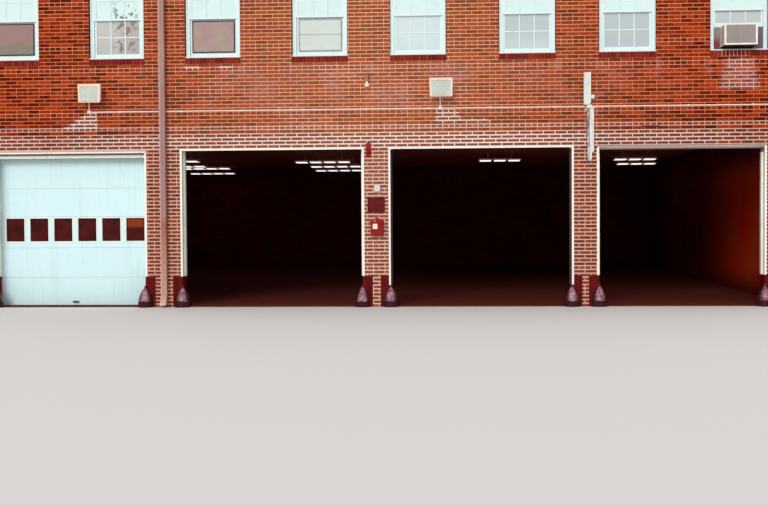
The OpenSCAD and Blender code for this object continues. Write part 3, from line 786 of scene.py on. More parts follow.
@dataclass(frozen=True)
class Stain:
    """A mark on the front: its heights, its edges at the top and at the foot, and its strength."""

    top: float
    foot: float
    left: tuple[float, float]
    right: tuple[float, float]
    strength: float
    soft: float = 0.04

    def cover(self, r: Recipe, ragged: Signal) -> Signal:
        """How much of the wall it covers at a point, 0 to 1.

        Args:
            r: The recipe.
            ragged: How far its edges wander.

        Returns:
            The cover, 0 to 1.
        """
        fall = (self.top - r.z) / (self.top - self.foot)
        x = r.x + ragged
        low, high = (a + fall * (b - a) for a, b in (self.left, self.right))
        across = x.rise(low - self.soft, low + self.soft) * (1 - x.rise(high - self.soft, high + self.soft))
        return across * fall.band(0.0, 1.0, min(0.2, 0.01 / (self.top - self.foot))) * self.strength


def streak(x: float, foot: float, strength: float, half: float = 0.05) -> Stain:
    """A run below the end of a window's sill."""
    return Stain(SILL, foot, (x - half * 0.6, x - half), (x + half * 0.6, x + half), strength, 0.05)


@dataclass(frozen=True)
class Weather:
    """What rain, lime and lamps have left on the front: pale runs, dark lines and a pink bloom."""

    pier_top: float = 2.93
    runs: tuple[Stain, ...] = (
        Stain(3.645, 3.3, (-5.28, -5.85), (-5.107, -5.11), 1.0),
        Stain(3.63, 3.38, (1.232, 1.22), (1.6, 1.72), 0.9),
        Stain(3.46, 3.385, (1.3, 1.3), (2.1, 2.35), 0.75),
        Stain(4.475, 4.425, (-3.468, -3.468), (-3.148, -3.148), 0.9),
        Stain(4.475, 4.425, (-2.81, -2.81), (-2.548, -2.548), 0.8),
        Stain(4.5, 3.93, (6.5, 6.38), (6.95, 7.08), 0.4, 0.1),
    )
    streaks: tuple[Stain, ...] = (
        Stain(4.5, 3.93, (6.48, 6.35), (6.97, 7.1), 0.45, 0.1),
        streak(-5.264, 4.25, 0.3),
        streak(-2.4, 4.28, 0.55, 0.07),
        streak(-1.452, 4.2, 0.55),
        streak(0.362, 4.25, 0.35),
        streak(1.452, 4.12, 0.95, 0.09),
        streak(3.45, 4.33, 0.85, 0.07),
        streak(5.264, 4.2, 0.55),
        streak(6.172, 4.2, 0.55),
    )
    dark: tuple[Stain, ...] = (
        Stain(3.335, 3.3, (-3.2, -3.2), (-2.4, -2.4), 0.9),
        Stain(3.3, 3.262, (-5.11, -5.11), (-4.3, -4.3), 0.8),
        Stain(3.3, 3.265, (4.94, 4.94), (5.3, 5.3), 0.9),
    )

    def middle(self, r: Recipe) -> Signal:
        """How pale the wall has gone towards its middle, 0 to 1."""
        return 1 - abs(r.x / 6.9).rise(0.0, 1.0)

    def total(self, r: Recipe, stains: Sequence[Stain]) -> Signal:
        """The strongest of several stains at a point.

        Args:
            r: The recipe.
            stains: The stains.

        Returns:
            The cover, 0 to 1.
        """
        ragged = r.noise(6, 3) * 0.12 - 0.06
        covers = [stain.cover(r, ragged) for stain in stains]
        return functools.reduce(Signal.most, covers)

    def lime(self, r: Recipe) -> Signal:
        """Where lime has bloomed, 0 to 1.

        Args:
            r: The recipe.

        Returns:
            The cover, 0 to 1.
        """
        broad = r.noise(0.55, 2, r.stretched(1, 0, 0.2)).rise(0.36, 0.6)
        over_bays = r.z.band(self.pier_top, BOND.height(46), 0.02)
        over_bays = over_bays * (broad * 0.2 + self.middle(r) * 0.45 + 0.42)
        piers = (r.z < self.pier_top) * (self.middle(r) * 0.12 + 0.36)
        tick_row = r.z.band(BOND.height(47), BOND.height(48), 0.006) * 0.6
        clouds = r.noise(1.1, 3).rise(0.5, 0.7) * r.z.band(3.3, 4.5, 0.1) * self.middle(r) * 0.25
        found = self.total(r, self.runs)
        return found.most(over_bays).most(piers).most(tick_row).most(clouds)

    def soot(self, r: Recipe) -> Signal:
        """Where soot darkens the wall, 0 to 1."""
        below_pipe = r.z.band(3.28, 3.63, 0.02) * (1 - self.middle(r) * 0.6) * 0.2
        return self.total(r, self.dark).most(below_pipe)

    def damp(self, r: Recipe) -> Signal:
        """Where the clay itself has darkened behind the lime, 0 to 1."""
        over_bays = r.z.band(2.94, BOND.height(46), 0.01)
        return over_bays.most((r.z < 2.94) * 0.9).most(self.total(r, self.runs))

    def lilac(self, r: Recipe) -> Signal:
        """Where a lilac bloom lies, 0 to 1.

        Args:
            r: The recipe.

        Returns:
            The cover, 0 to 1.
        """
        belt = r.z.band(3.75, 4.5, 0.15) * self.middle(r)
        piers = r.z.band(1.2, 2.95, 0.25) * (abs(r.x - 0.12) < 0.25)
        bloom = belt * r.noise(1.3, 4).rise(0.42, 0.66) * 0.7
        return bloom.most(piers * 0.5).most(self.total(r, self.streaks))


@dataclass(frozen=True)
class BrickFinish:
    """Fired clay bricks, each of its own tone."""

    wall: Wall

    def make(self) -> bpy.types.Material:
        """Builds the material.

        Returns:
            The material.
        """
        r = Recipe(f"brick_{self.wall.value}")
        column, row, _, bed, head = BOND.cells(r, self.wall)
        base = r.ramp(
            r.dice(column, row, 3.0),
            (0.0, paint(76, 11, 3)),
            (0.3, paint(110, 24, 6)),
            (0.6, paint(146, 41, 10)),
            (0.88, paint(170, 58, 18)),
            (1.0, paint(150, 50, 32)),
        )
        mottle = r.noise(38, 5)
        base = r.mix(mottle.rise(0.45, 0.75) * 0.3, base, paint(74, 14, 7))
        base = r.mix(r.noise(0.7, 3).rise(0.4, 0.75) * 0.2, base, paint(132, 28, 14))
        if self.wall is Wall.FRONT:
            signs = Weather()
            flecks = r.noise(55, 4).rise(0.35, 0.7)
            base = r.mix(signs.middle(r) * 0.42, base, paint(186, 112, 80))
            base = r.mix(signs.soot(r) * 0.6, base, paint(70, 14, 12))
            base = r.mix(signs.lilac(r) * (flecks * 0.35 + 0.2), base, paint(200, 142, 140))
            lime = signs.lime(r)
            base = r.mix(signs.damp(r) * (mottle.rise(0.4, 0.6) * 0.2 + 0.42), base, paint(78, 20, 14))
            smear = (1 - bed.rise(self.edge, self.edge + 0.012)).most((1 - head.rise(self.edge, 0.013)) * 0.7)
            base = r.mix(lime * (smear * 0.9).most(flecks * 0.16), base, paint(246, 216, 200))
        relief = mottle * 0.6 + r.noise(240, 3) * 0.4
        return r.finish(base, 0.86, relief, 0.0016, Specular_IOR_Level=0.05)

    @property
    def edge(self) -> float:
        """How near its joints a brick may still carry lime."""
        return BOND.joint / 2 + 0.001


@dataclass(frozen=True)
class WallFinish:
    """Mortar on the outer skin, and plain brickwork with flush joints inside and in the reveals."""

    wall: Wall

    def make(self) -> bpy.types.Material:
        """Builds the material.

        Returns:
            The material.
        """
        r = Recipe(f"mortar_{self.wall.value}")
        _, row, header, bed, _ = BOND.cells(r, self.wall)
        upright = bed.rise(BOND.joint / 2, BOND.joint / 2 + 0.005)
        rows = r.dice(row, 7.0)
        base = r.mix(rows, paint(214, 116, 66), paint(238, 152, 100))
        grit = r.noise(150, 4)
        base = r.mix(grit.rise(0.5, 0.8) * 0.3, base, paint(160, 84, 56))
        if self.wall is Wall.FRONT:
            signs = Weather()
            base = r.mix(signs.middle(r) * 0.75, base, paint(252, 214, 168))
            base = r.mix(signs.lilac(r) * 0.55, base, paint(226, 178, 172))
            base = r.mix(header * (rows > 0.4) * 0.3, base, paint(250, 208, 182))
            base = r.mix(upright * 0.4, base, paint(150, 62, 30))
            white = r.mix((r.z < signs.pier_top) * 0.5, paint(254, 234, 222), paint(246, 196, 166))
            base = r.mix(signs.lime(r), base, white)
            base = r.mix(signs.soot(r) * 0.9, base, paint(84, 20, 12))
        else:
            base = r.mix(header * (rows > 0.4) * 0.25, base, paint(246, 200, 172))
            base = r.mix(upright * 0.3, base, paint(150, 62, 30))
        axis = self.wall.along[0]
        across = (r.y, r.x)[axis] * (-1 if self.wall in (Wall.FRONT, Wall.LEFT) else 1)
        outside = across > (HALF_D if axis == 0 else HALF_W) - 0.002
        base = r.mix(outside, self.inside(r), base)
        return r.finish(base, 0.92, grit, 0.0015, Specular_IOR_Level=0.05)

    def inside(self, r: Recipe) -> Signal:
        """Brickwork drawn in colour alone.

        Args:
            r: The recipe.

        Returns:
            The colour.
        """
        along_x, along_y, _ = r.facing()
        run = r.x * along_y + r.y * along_x
        course = (r.z - BOND.base) / BOND.course
        row = course.whole()
        place = run / BOND.length + (row % 2) * 0.5
        bed = abs(course - row - 0.5).rise(0.4, 0.45)
        head = abs(place % 1 - 0.5).rise(0.465, 0.485)
        clay = r.ramp(
            r.dice(place.whole(), row, 5.0),
            (0.0, paint(74, 8, 6)),
            (0.6, paint(100, 20, 10)),
            (1.0, paint(118, 36, 16)),
        )
        clay = r.mix(r.noise(2.2, 4).rise(0.3, 0.8) * 0.5, clay, paint(70, 10, 6))
        clay = r.mix(bed.most(head), clay, paint(104, 44, 30))
        if self.wall is not Wall.RIGHT:
            return clay
        # On the right wall's inner face near the bays, a painted pool of sunlight: orange-red, fading into
        # the hall.
        glow = r.z.band(0.3, 2.7, 0.3) * (1 - r.y.rise(FRONT + 4, FRONT + 9)) * (r.x < HALF_W - 0.1)
        lit = r.mix(r.noise(1.2, 3).rise(0.3, 0.7), paint(222, 40, 16), paint(196, 74, 26))
        return r.mix(glow * 0.9, clay, lit)


@dataclass(frozen=True)
class SillFinish:
    """Dark bricks on edge under the windows."""

    def make(self) -> bpy.types.Material:
        """Builds the material.

        Returns:
            The material.
        """
        r = Recipe("sill_bricks")
        tone = r.dice((r.x / 0.0693).whole(), (r.y / 0.0693).whole(), 2.0)
        base = r.ramp(
            tone, (0.0, paint(88, 12, 10)), (0.5, paint(124, 28, 18)), (1.0, paint(146, 44, 28))
        )
        mottle = r.noise(44, 5)
        base = r.mix(mottle.rise(0.4, 0.8) * 0.35, base, paint(90, 24, 20))
        return r.finish(base, 0.82, mottle, 0.0014, Specular_IOR_Level=0.2)


@dataclass(frozen=True)
class SillMortarFinish:
    """Dark red mortar between the bricks on edge, pale where a cooler drips on it."""

    def make(self) -> bpy.types.Material:
        """Builds the material.

        Returns:
            The material.
        """
        r = Recipe("sill_mortar")
        grit = r.noise(120, 4)
        base = r.mix(grit, paint(136, 48, 36), paint(168, 76, 56))
        wet = (1 - abs(r.x - 6.62).rise(0.2, 0.32)) * (r.y < 0)
        base = r.mix(wet * 0.9, base, paint(240, 180, 164))
        return r.finish(base, 0.9, grit, 0.0012, Specular_IOR_Level=0.2)


@dataclass(frozen=True)
class GlassFinish:
    """Window glass, clearer in the lower sashes and catching the sky in the upper ones."""

    name: str
    colour: Colour
    low: float
    high: float
    rough: float = 0.06

    def make(self) -> bpy.types.Material:
        """Builds the material.

        Returns:
            The material.
        """
        r = Recipe(self.name)
        upper = r.z.rise(5.355, 5.425)
        cloud = r.noise(2.3, 3)
        smear = r.noise(1, 4, r.stretched(3, 3, 9)).rise(0.45, 0.75)
        alpha = upper * (self.high - self.low) + self.low + cloud * 0.08
        base = r.mix(cloud.rise(0.4, 0.7) * 0.35, self.colour, paint(205, 222, 226))
        return r.finish(base, smear * 0.1 + self.rough, cloud, 0.002, Alpha=alpha, IOR=1.5)


@dataclass(frozen=True)
class FrontGlassFinish:
    """Front window glass: each pale lower pane has its own tone, the upper ones catch the sky, and the second
    window's lower panes carry a painted reflection of trees.
    """

    views: tuple[tuple[int, Colour, Colour], ...] = (
        (1, paint(206, 208, 204), paint(214, 214, 210)),
        (4, paint(226, 244, 246), paint(230, 246, 248)),
        (5, paint(218, 230, 232), paint(206, 218, 222)),
        (6, paint(206, 212, 220), paint(202, 216, 216)),
        (7, paint(210, 222, 222), paint(210, 222, 222)),
    )

    def make(self) -> bpy.types.Material:
        """Builds the material.

        Returns:
            The material.
        """
        r = Recipe("window_glass")
        upper = r.z.rise(5.375, 5.4)
        cloud = r.noise(2.3, 3)
        base = r.mix(cloud.rise(0.4, 0.7) * 0.35, paint(228, 254, 252), paint(218, 242, 244))
        rising = (r.z + cloud * 0.3).rise(4.9, 5.25)
        for index, low, high in self.views:
            middle = FRONT_WINDOWS[index]
            here = (abs(r.x - middle) < 0.5) * (1 - upper)
            base = r.mix(here, base, r.mix(rising, low, high))
        # Dark leaf shapes over the second window's lower panes: a painted reflection of trees, not leaves
        # behind the glass.
        leaves = r.noise(11, 7).rise(0.53, 0.57) * r.x.band(-4.78, -4.36, 0.12) * 0.85
        base = r.mix(leaves, base, paint(82, 66, 44))
        # A warm tint over the right part of the same panes, part of that painted reflection.
        warm = r.x.band(-4.72, -4.2, 0.15) * (1 - upper) * 0.5
        base = r.mix(warm, base, paint(186, 168, 160))
        smear = r.noise(1, 4, r.stretched(3, 3, 9)).rise(0.45, 0.75)
        alpha = upper * 0.13 + 0.72 + cloud * 0.08
        return r.finish(base, smear * 0.1 + 0.06, cloud, 0.002, Alpha=alpha, IOR=1.5)


@dataclass(frozen=True)
class ScreenFinish:
    """Woven insect screen, open between its wires, pinkish with a beige lower half in places."""

    def make(self) -> bpy.types.Material:
        """Builds the material.

        Returns:
            The material.
        """
        r = Recipe("insect_screen")
        weave = (abs((r.x * 400) % 1 - 0.5)).rise(0.2, 0.4).most(
            abs((r.z * 400) % 1 - 0.5).rise(0.2, 0.4)
        )
        clouds = r.noise(4, 3).rise(0.3, 0.7)
        warm = r.mix(clouds, paint(186, 168, 152), paint(186, 150, 150))
        cool = r.mix((r.z + clouds * 0.1).rise(4.98, 5.06), paint(150, 138, 120), paint(172, 134, 130))
        base = r.mix(r.x < -5.5, warm, cool)
        shade = r.mix(clouds * 0.5, paint(216, 226, 222), paint(206, 214, 208))
        shade = r.mix(abs(r.z - 5.05) < 0.009, shade, paint(176, 180, 174))
        fourth = r.x > -2.0
        base = r.mix(fourth, base, shade)
        alpha = (weave * 0.25 + 0.6) * (1 - fourth) + fourth * 0.96
        return r.finish(base, 0.7, weave, 0.0003, Alpha=alpha)


@dataclass(frozen=True)
class EdgeFinish:
    """Dark strips of painted shade, paler over some of the front windows."""

    name: str
    paler_at: tuple[tuple[int, Colour], ...]

    def make(self) -> bpy.types.Material:
        """Builds the material.

        Returns:
            The material.
        """
        r = Recipe(self.name)
        specks = r.noise(40, 4).rise(0.5, 0.7)
        base = r.mix(specks * 0.4, paint(48, 36, 36), paint(92, 80, 78))
        for index, colour in self.paler_at:
            here = (abs(r.x - FRONT_WINDOWS[index]) < 0.5) * (r.y < 0)
            base = r.mix(here * (1 - specks * 0.5), base, colour)
        return r.finish(base, 0.75, specks, 0.0005)


@dataclass(frozen=True)
class ClothFinish:
    """Plain woven curtain cloth."""

    name: str
    colour: Colour
    shade: Colour

    def make(self) -> bpy.types.Material:
        """Builds the material.

        Returns:
            The material.
        """
        r = Recipe(self.name)
        threads = (abs((r.x * 900) % 1 - 0.5) + abs((r.z * 900) % 1 - 0.5)) * 0.5
        base = r.mix(r.noise(3, 4).rise(0.35, 0.75) * 0.5, self.colour, self.shade)
        base = r.mix(threads * 0.3, base, self.shade)
        return r.finish(base, 0.9, threads, 0.0003, Sheen_Weight=0.2)


@dataclass(frozen=True)
class SlateFinish:
    """Split slates, each of its own grey."""

    def make(self) -> bpy.types.Material:
        """Builds the material.

        Returns:
            The material.
        """
        r = Recipe("split_slate")
        side, end, _ = r.facing()
        across = side > end
        run = r.x + (r.y - r.x) * across
        down = r.y + (r.x - r.y) * across
        eaves = across * (HALF_W - HALF_D) + Roof.half_b
        row = ((eaves - abs(down)) / Roof.flat).whole()
        tone = r.dice((run / Roof.width + ((row + across) % 2) * 0.5).whole(), row, across)
        base = r.ramp(
            tone,
            (0.0, paint(58, 62, 70)),
            (0.4, paint(78, 82, 90)),
            (0.75, paint(96, 98, 106)),
            (1.0, paint(92, 84, 96)),
        )
        split = r.noise(22, 6)
        base = r.mix(split.rise(0.4, 0.7) * 0.3, base, paint(52, 54, 60))
        base = r.mix(r.noise(0.6, 4).rise(0.55, 0.75) * 0.25, base, paint(112, 116, 104))
        return r.finish(base, 0.62, split, 0.003)


@dataclass(frozen=True)
class DoorGlassFinish:
    """Nearly opaque dark red glass of the door lights, painted shade of the dark hall behind them, with a
    warm patch in the last one.
    """

    def make(self) -> bpy.types.Material:
        """Builds the material.

        Returns:
            The material.
        """
        r = Recipe("door_glass")
        clouds = r.noise(5, 3)
        # The dark red stands in for the shaded hall seen through the glass: painted shade.
        base = r.mix(clouds.rise(0.35, 0.7), paint(78, 8, 6), paint(52, 4, 4))
        warm = r.x.band(-4.66, -4.34, 0.03) * r.z.band(1.5, 1.66, 0.03)
        base = r.mix(warm * 0.7, base, paint(150, 62, 24))
        return r.finish(base, 0.35, clouds, 0.001, Alpha=clouds * 0.04 + 0.95, Specular_IOR_Level=0.1)


@dataclass(frozen=True)
class LiningFinish:
    """White enamel on the bays' linings, dirty at the outer bays' heads, with painted shadow on the header
    boards there and painted shade on the third bay's inner faces and on the soffits.
    """

    def make(self) -> bpy.types.Material:
        """Builds the material.

        Returns:
            The material.
        """
        r = Recipe("bay_lining")
        clouds = r.noise(3, 4)
        base = r.mix(clouds.rise(0.35, 0.7) * 0.5, paint(252, 250, 240), paint(226, 222, 214))
        runs = r.noise(1, 4, r.stretched(30, 30, 1.2)).rise(0.52, 0.7)
        base = r.mix(runs * 0.25, base, paint(196, 164, 152))
        left, right = r.x < -4.1, r.x > 4.1
        base = r.mix(r.z.rise(2.905, 2.918) * left, base, paint(206, 164, 140))
        base = r.mix(r.z.rise(2.915, 2.925) * right, base, paint(158, 108, 94))
        # Painted shadow on the header boards behind the outer bays' heads: olive where the rail's shadow
        # falls on the left, brownish low on the right.
        board = (r.y > FRONT + 0.08) * (r.z > 2.8)
        base = r.mix(board * left * r.z.rise(2.845, 2.86), base, paint(112, 98, 86))
        base = r.mix(board * right * (1 - r.z.rise(2.88, 2.895)), base, paint(132, 86, 76))
        # Painted shade on the third bay's linings behind their front faces.
        third = (abs(r.x - sum(BAYS[2]) / 2) < (BAYS[2][1] - BAYS[2][0]) / 2 - 0.0375) * (r.z < 2.9)
        base = r.mix(third * (r.y > FRONT + 0.004), base, paint(70, 32, 30))
        # Painted shade on every face that looks down.
        base = r.mix(self.down(r), base, paint(66, 12, 12))
        return r.finish(base, 0.45, clouds, 0.0004)

    def down(self, r: Recipe) -> Signal:
        """Finds the undersides.

        Args:
            r: The recipe.

        Returns:
            1 where the surface faces down.
        """
        normal = r.add("ShaderNodeNewGeometry", {}, {}, "Normal")
        parts = r.add("ShaderNodeSeparateXYZ", {}, {0: normal})
        return Signal(r, parts.socket.node.outputs[2]) < -0.5


@dataclass(frozen=True)
class GuardFinish:
    """Bell castings in dark maroon: on the bell a painted sky reflection in scuffed mauve with painted glints
    and painted shade towards its sides, dark maroon on the foot.
    """

    def make(self) -> bpy.types.Material:
        """Builds the material.

        Returns:
            The material.
        """
        r = Recipe("bell_guard")
        scuffs_and_glints = r.noise(24, 5).rise(0.4, 0.7)
        # The bell's mauve is a painted sky reflection on dark maroon paint; its paler patches are scuffs and
        # painted glints.
        bell = r.mix(scuffs_and_glints, paint(136, 84, 96), paint(196, 150, 158))
        bell = r.mix(r.noise(9, 3).rise(0.5, 0.62) * 0.6, bell, paint(92, 34, 48))
        # Painted shade darkens the bell towards its sides.
        sideways, _, _ = r.facing()
        bell = r.mix(sideways.rise(0.3, 0.75) * 0.92, bell, paint(52, 6, 14))
        foot = r.mix(scuffs_and_glints * 0.3, paint(50, 4, 10), paint(84, 20, 26))
        high = (r.z + scuffs_and_glints * 0.012).rise(0.112, 0.122) * (1 - r.z.rise(0.34, 0.366) * 0.7)
        base = r.mix(high, foot, bell)
        rough = (1 - high) * 0.35 + scuffs_and_glints * 0.2 + 0.3
        return r.finish(base, rough, scuffs_and_glints, 0.001, Coat_Weight=high * 0.3, Specular_IOR_Level=0.2)


@dataclass(frozen=True)
class SpoutFinish:
    """Faded paint that changes tone down the pipe, with a painted highlight down its left side."""

    def make(self) -> bpy.types.Material:
        """Builds the material.

        Returns:
            The material.
        """
        r = Recipe("downspout_paint")
        base = r.ramp(
            r.z / 6.6,
            (0.0, paint(236, 196, 186)),
            (0.03, paint(190, 146, 132)),
            (0.12, paint(182, 132, 114)),
            (0.235, paint(160, 96, 78)),
            (0.26, paint(164, 124, 124)),
            (0.5, paint(160, 122, 122)),
            (0.75, paint(170, 134, 122)),
        )
        worn = r.noise(1, 4, r.stretched(20, 20, 1.4)).rise(0.45, 0.7)
        base = r.mix(worn * 0.4, base, paint(146, 104, 96))
        base = r.mix(r.noise(30, 4).rise(0.6, 0.75) * 0.35, base, paint(216, 176, 170))
        # A painted highlight down the pipe's left side.
        side = r.x - (sum((BAYS[0][1], BAYS[1][0])) / 2 + 0.017)
        base = r.mix((1 - side.rise(-0.05, -0.02)) * 0.45, base, paint(222, 182, 178))
        return r.finish(base, worn * 0.2 + 0.5, worn, 0.0006, Specular_IOR_Level=0.2)


@dataclass(frozen=True)
class SleeveFinish:
    """Crumpled film, grey and streaked white, with a painted highlight down its right side and painted shade
    down its left.
    """

    middle: float = 3.984

    def make(self) -> bpy.types.Material:
        """Builds the material.

        Returns:
            The material.
        """
        r = Recipe("sleeve_film")
        streaks = r.noise(1, 5, r.stretched(45, 20, 6)).rise(0.42, 0.62)
        base = r.mix(streaks, paint(112, 100, 112), paint(214, 210, 212))
        specks = r.noise(60, 3).rise(0.6, 0.7)
        base = r.mix(specks * 0.6, base, paint(98, 78, 84))
        # A painted highlight down the right side and painted shade down the left side.
        base = r.mix(r.x.rise(self.middle + 0.03, self.middle + 0.055) * 0.7, base, paint(244, 236, 230))
        base = r.mix((1 - r.x.rise(self.middle - 0.06, self.middle - 0.04)) * 0.6, base, paint(120, 96, 104))
        return r.finish(base, 0.4, streaks, 0.002)


@dataclass(frozen=True)
class HolderFinish:
    """Aged porcelain: brown above, pale at the rim."""

    def make(self) -> bpy.types.Material:
        """Builds the material.

        Returns:
            The material.
        """
        r = Recipe("lamp_porcelain")
        clouds = r.noise(20, 4).rise(0.35, 0.7)
        low, high = (corner[2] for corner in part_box("lamp_holder"))
        share = (r.z + clouds * 0.02 - low) / (high - low)
        base = r.ramp(
            share,
            (0.0, paint(250, 240, 226)),
            (0.34, paint(236, 220, 200)),
            (0.44, paint(168, 122, 104)),
            (0.85, paint(150, 104, 90)),
            (0.95, paint(84, 40, 34)),
        )
        return r.finish(base, 0.4, clouds, 0.0005)


@dataclass(frozen=True)
class CoolerFinish:
    """Cream enamel, with painted shade on the faces that don't look front or back and a painted shadow,
    almost black, under the case.
    """

    bottom: float

    def make(self) -> bpy.types.Material:
        """Builds the material.

        Returns:
            The material.
        """
        r = Recipe("cooler_case")
        clouds = r.noise(8, 4).rise(0.35, 0.7)
        base = r.mix(clouds * 0.5, paint(252, 238, 230), paint(226, 206, 198))
        # Painted shade on every face that doesn't look front or back.
        _, along, _ = r.facing()
        base = r.mix((1 - along) * 0.35, base, paint(188, 160, 146))
        # A painted shadow, almost black, under the case.
        base = r.mix(1 - r.z.rise(self.bottom + 0.002, self.bottom + 0.007), base, paint(30, 8, 8))
        return r.finish(base, 0.45, clouds, 0.0005)


@dataclass(frozen=True)
class PanelFinish:
    """A pleated panel, grey-beige above and rose below, with a painted shadow along its foot."""

    def make(self) -> bpy.types.Material:
        """Builds the material.

        Returns:
            The material.
        """
        r = Recipe("pleated_panel")
        clouds = r.noise(12, 3)
        left = r.mix((r.z + clouds * 0.04).rise(4.8, 4.95), paint(172, 92, 100), paint(188, 178, 174))
        base = r.mix(r.x > 6.7, left, paint(156, 140, 148))
        # A painted shadow along the panels' foot, under the cooler.
        base = r.mix(1 - r.z.rise(4.675, 4.69), base, paint(60, 30, 32))
        return r.finish(base, 0.7, clouds, 0.0008)


@dataclass(frozen=True)
class LampFinish:
    """Cream enamel of a floodlight, with a painted pinkish highlight in a band down the right side of each of
    the two.
    """

    highlight_bands: tuple[tuple[float, float], ...] = ((-5.0, 0.09), (1.52, 0.06))

    def make(self) -> bpy.types.Material:
        """Builds the material.

        Returns:
            The material.
        """
        r = Recipe("lamp_enamel")
        clouds = r.noise(7, 4).rise(0.35, 0.7)
        base = r.mix(clouds * 0.6, paint(240, 216, 196), paint(222, 190, 160))
        # Painted highlights down the lamps' right sides.
        left, right = (abs(r.x - middle) < half for middle, half in self.highlight_bands)
        base = r.mix((left + right).least(1.0) * 0.8, base, paint(252, 222, 216))
        dust = r.noise(40, 4).rise(0.55, 0.7)
        base = r.mix(dust * 0.25, base, paint(170, 130, 112))
        return r.finish(base, dust * 0.2 + 0.45, clouds, 0.0005)


@dataclass(frozen=True)
class GlowFinish:
    """A lit lens over a tube."""

    def make(self) -> bpy.types.Material:
        """Builds the material.

        Returns:
            The material.
        """
        r = Recipe("lit_lens")
        ribs = abs((r.x * 60) % 1 - 0.5) * 2
        base = r.mix(r.noise(4, 3) * 0.4, paint(250, 244, 240), paint(236, 220, 214))
        lit = r.mix(ribs * 0.3, paint(255, 240, 236), paint(240, 206, 202))
        return r.finish(base, 0.4, ribs, 0.001, Emission_Color=lit, Emission_Strength=1.3)


FINISHES: dict[str, CoatFinish] = {
    "concrete": CoatFinish(
        "concrete", paint(100, 40, 32), paint(72, 22, 18), paint(40, 10, 10), 0.7, 0.1, 0.2, 0.85, 60, 0.002,
        shine=0.1,
    ),
    "plaster": CoatFinish(
        "warm_boards", paint(244, 132, 100), paint(226, 110, 82), paint(120, 44, 34), 0.5, 0.1, 0.1, 0.8,
        60, 0.001, shine=0.1,
    ),
    "white_paint": CoatFinish(
        "white_paint", paint(226, 243, 243), paint(204, 224, 224), paint(132, 138, 132), 0.25, 0.12, 0.25
    ),
    "door_paint": CoatFinish(
        "door_paint", paint(214, 243, 247), paint(200, 230, 236), paint(120, 140, 146), 0.2, 0.1, 0.35, 0.35
    ),
    "lining_paint": CoatFinish(
        "lining_paint", paint(246, 246, 238), paint(220, 216, 208), paint(150, 112, 100), 0.3, 0.2, 0.2, 0.45
    ),
    "steel": CoatFinish(
        "galvanised_steel", paint(168, 170, 170), paint(132, 134, 136), paint(104, 74, 60), 0.6, 0.3, 0.1,
        0.4, 30, 0.0004, 0.8,
    ),
    "cast_guard": CoatFinish(
        "corner_guard", paint(96, 8, 8), paint(84, 6, 10), paint(50, 4, 6), 0.4, 0.3, 0.1, 0.6, 46, 0.001,
        shine=0.1,
    ),
    "fitting_white": CoatFinish(
        "fitting_white", paint(218, 226, 218), paint(204, 194, 188), paint(140, 96, 88), 0.35, 0.25, 0.2
    ),
    "fitting_cream": CoatFinish(
        "fitting_cream", paint(214, 206, 198), paint(190, 176, 170), paint(130, 90, 82), 0.35, 0.25, 0.2
    ),
    "conduit": CoatFinish(
        "conduit_paint", paint(252, 226, 216), paint(236, 196, 182), paint(196, 136, 120), 0.4, 0.2, 0.1
    ),
    "light_box": CoatFinish(
        "light_box", paint(206, 196, 190), paint(180, 168, 162), paint(110, 84, 78), 0.2, 0.1, 0.1
    ),
    "red_paint": CoatFinish(
        "red_paint", paint(150, 4, 8), paint(120, 4, 8), paint(70, 4, 6), 0.35, 0.25, 0.15, 0.4, 80,
        0.0008, 0.0, 0.1, 0.15,
    ),
    "plaque_metal": CoatFinish(
        "plaque_metal", paint(94, 6, 12), paint(112, 30, 24), paint(50, 4, 6), 0.6, 0.4, 0.1, 0.5, 60,
        0.001, 0.1, 0.0, 0.15,
    ),
    "handle": CoatFinish(
        "black_handle", paint(30, 26, 30), paint(66, 60, 64), paint(14, 10, 12), 0.4, 0.1, 0.1, 0.4
    ),
    "eaves_paint": CoatFinish(
        "eaves_paint", paint(230, 236, 232), paint(206, 210, 204), paint(136, 130, 118), 0.3, 0.25, 0.1, 0.5,
        40,
    ),
    "gutter_paint": CoatFinish(
        "gutter_paint", paint(214, 220, 216), paint(190, 194, 188), paint(112, 104, 94), 0.35, 0.4, 0.1
    ),
    "roof_boards": CoatFinish(
        "roof_boards", paint(146, 112, 80), paint(116, 86, 58), paint(70, 50, 36), 0.6, 0.2, 0.1, 0.8,
        30, 0.002,
    ),
    "ridge": CoatFinish(
        "ridge_caps", paint(74, 76, 82), paint(98, 98, 100), paint(50, 50, 52), 0.5, 0.3, 0.2, 0.6, 40, 0.002
    ),
    "blind": CoatFinish(
        "slat_paint", paint(222, 224, 216), paint(204, 200, 190), paint(150, 140, 128), 0.2, 0.15, 0.05, 0.4
    ),
}


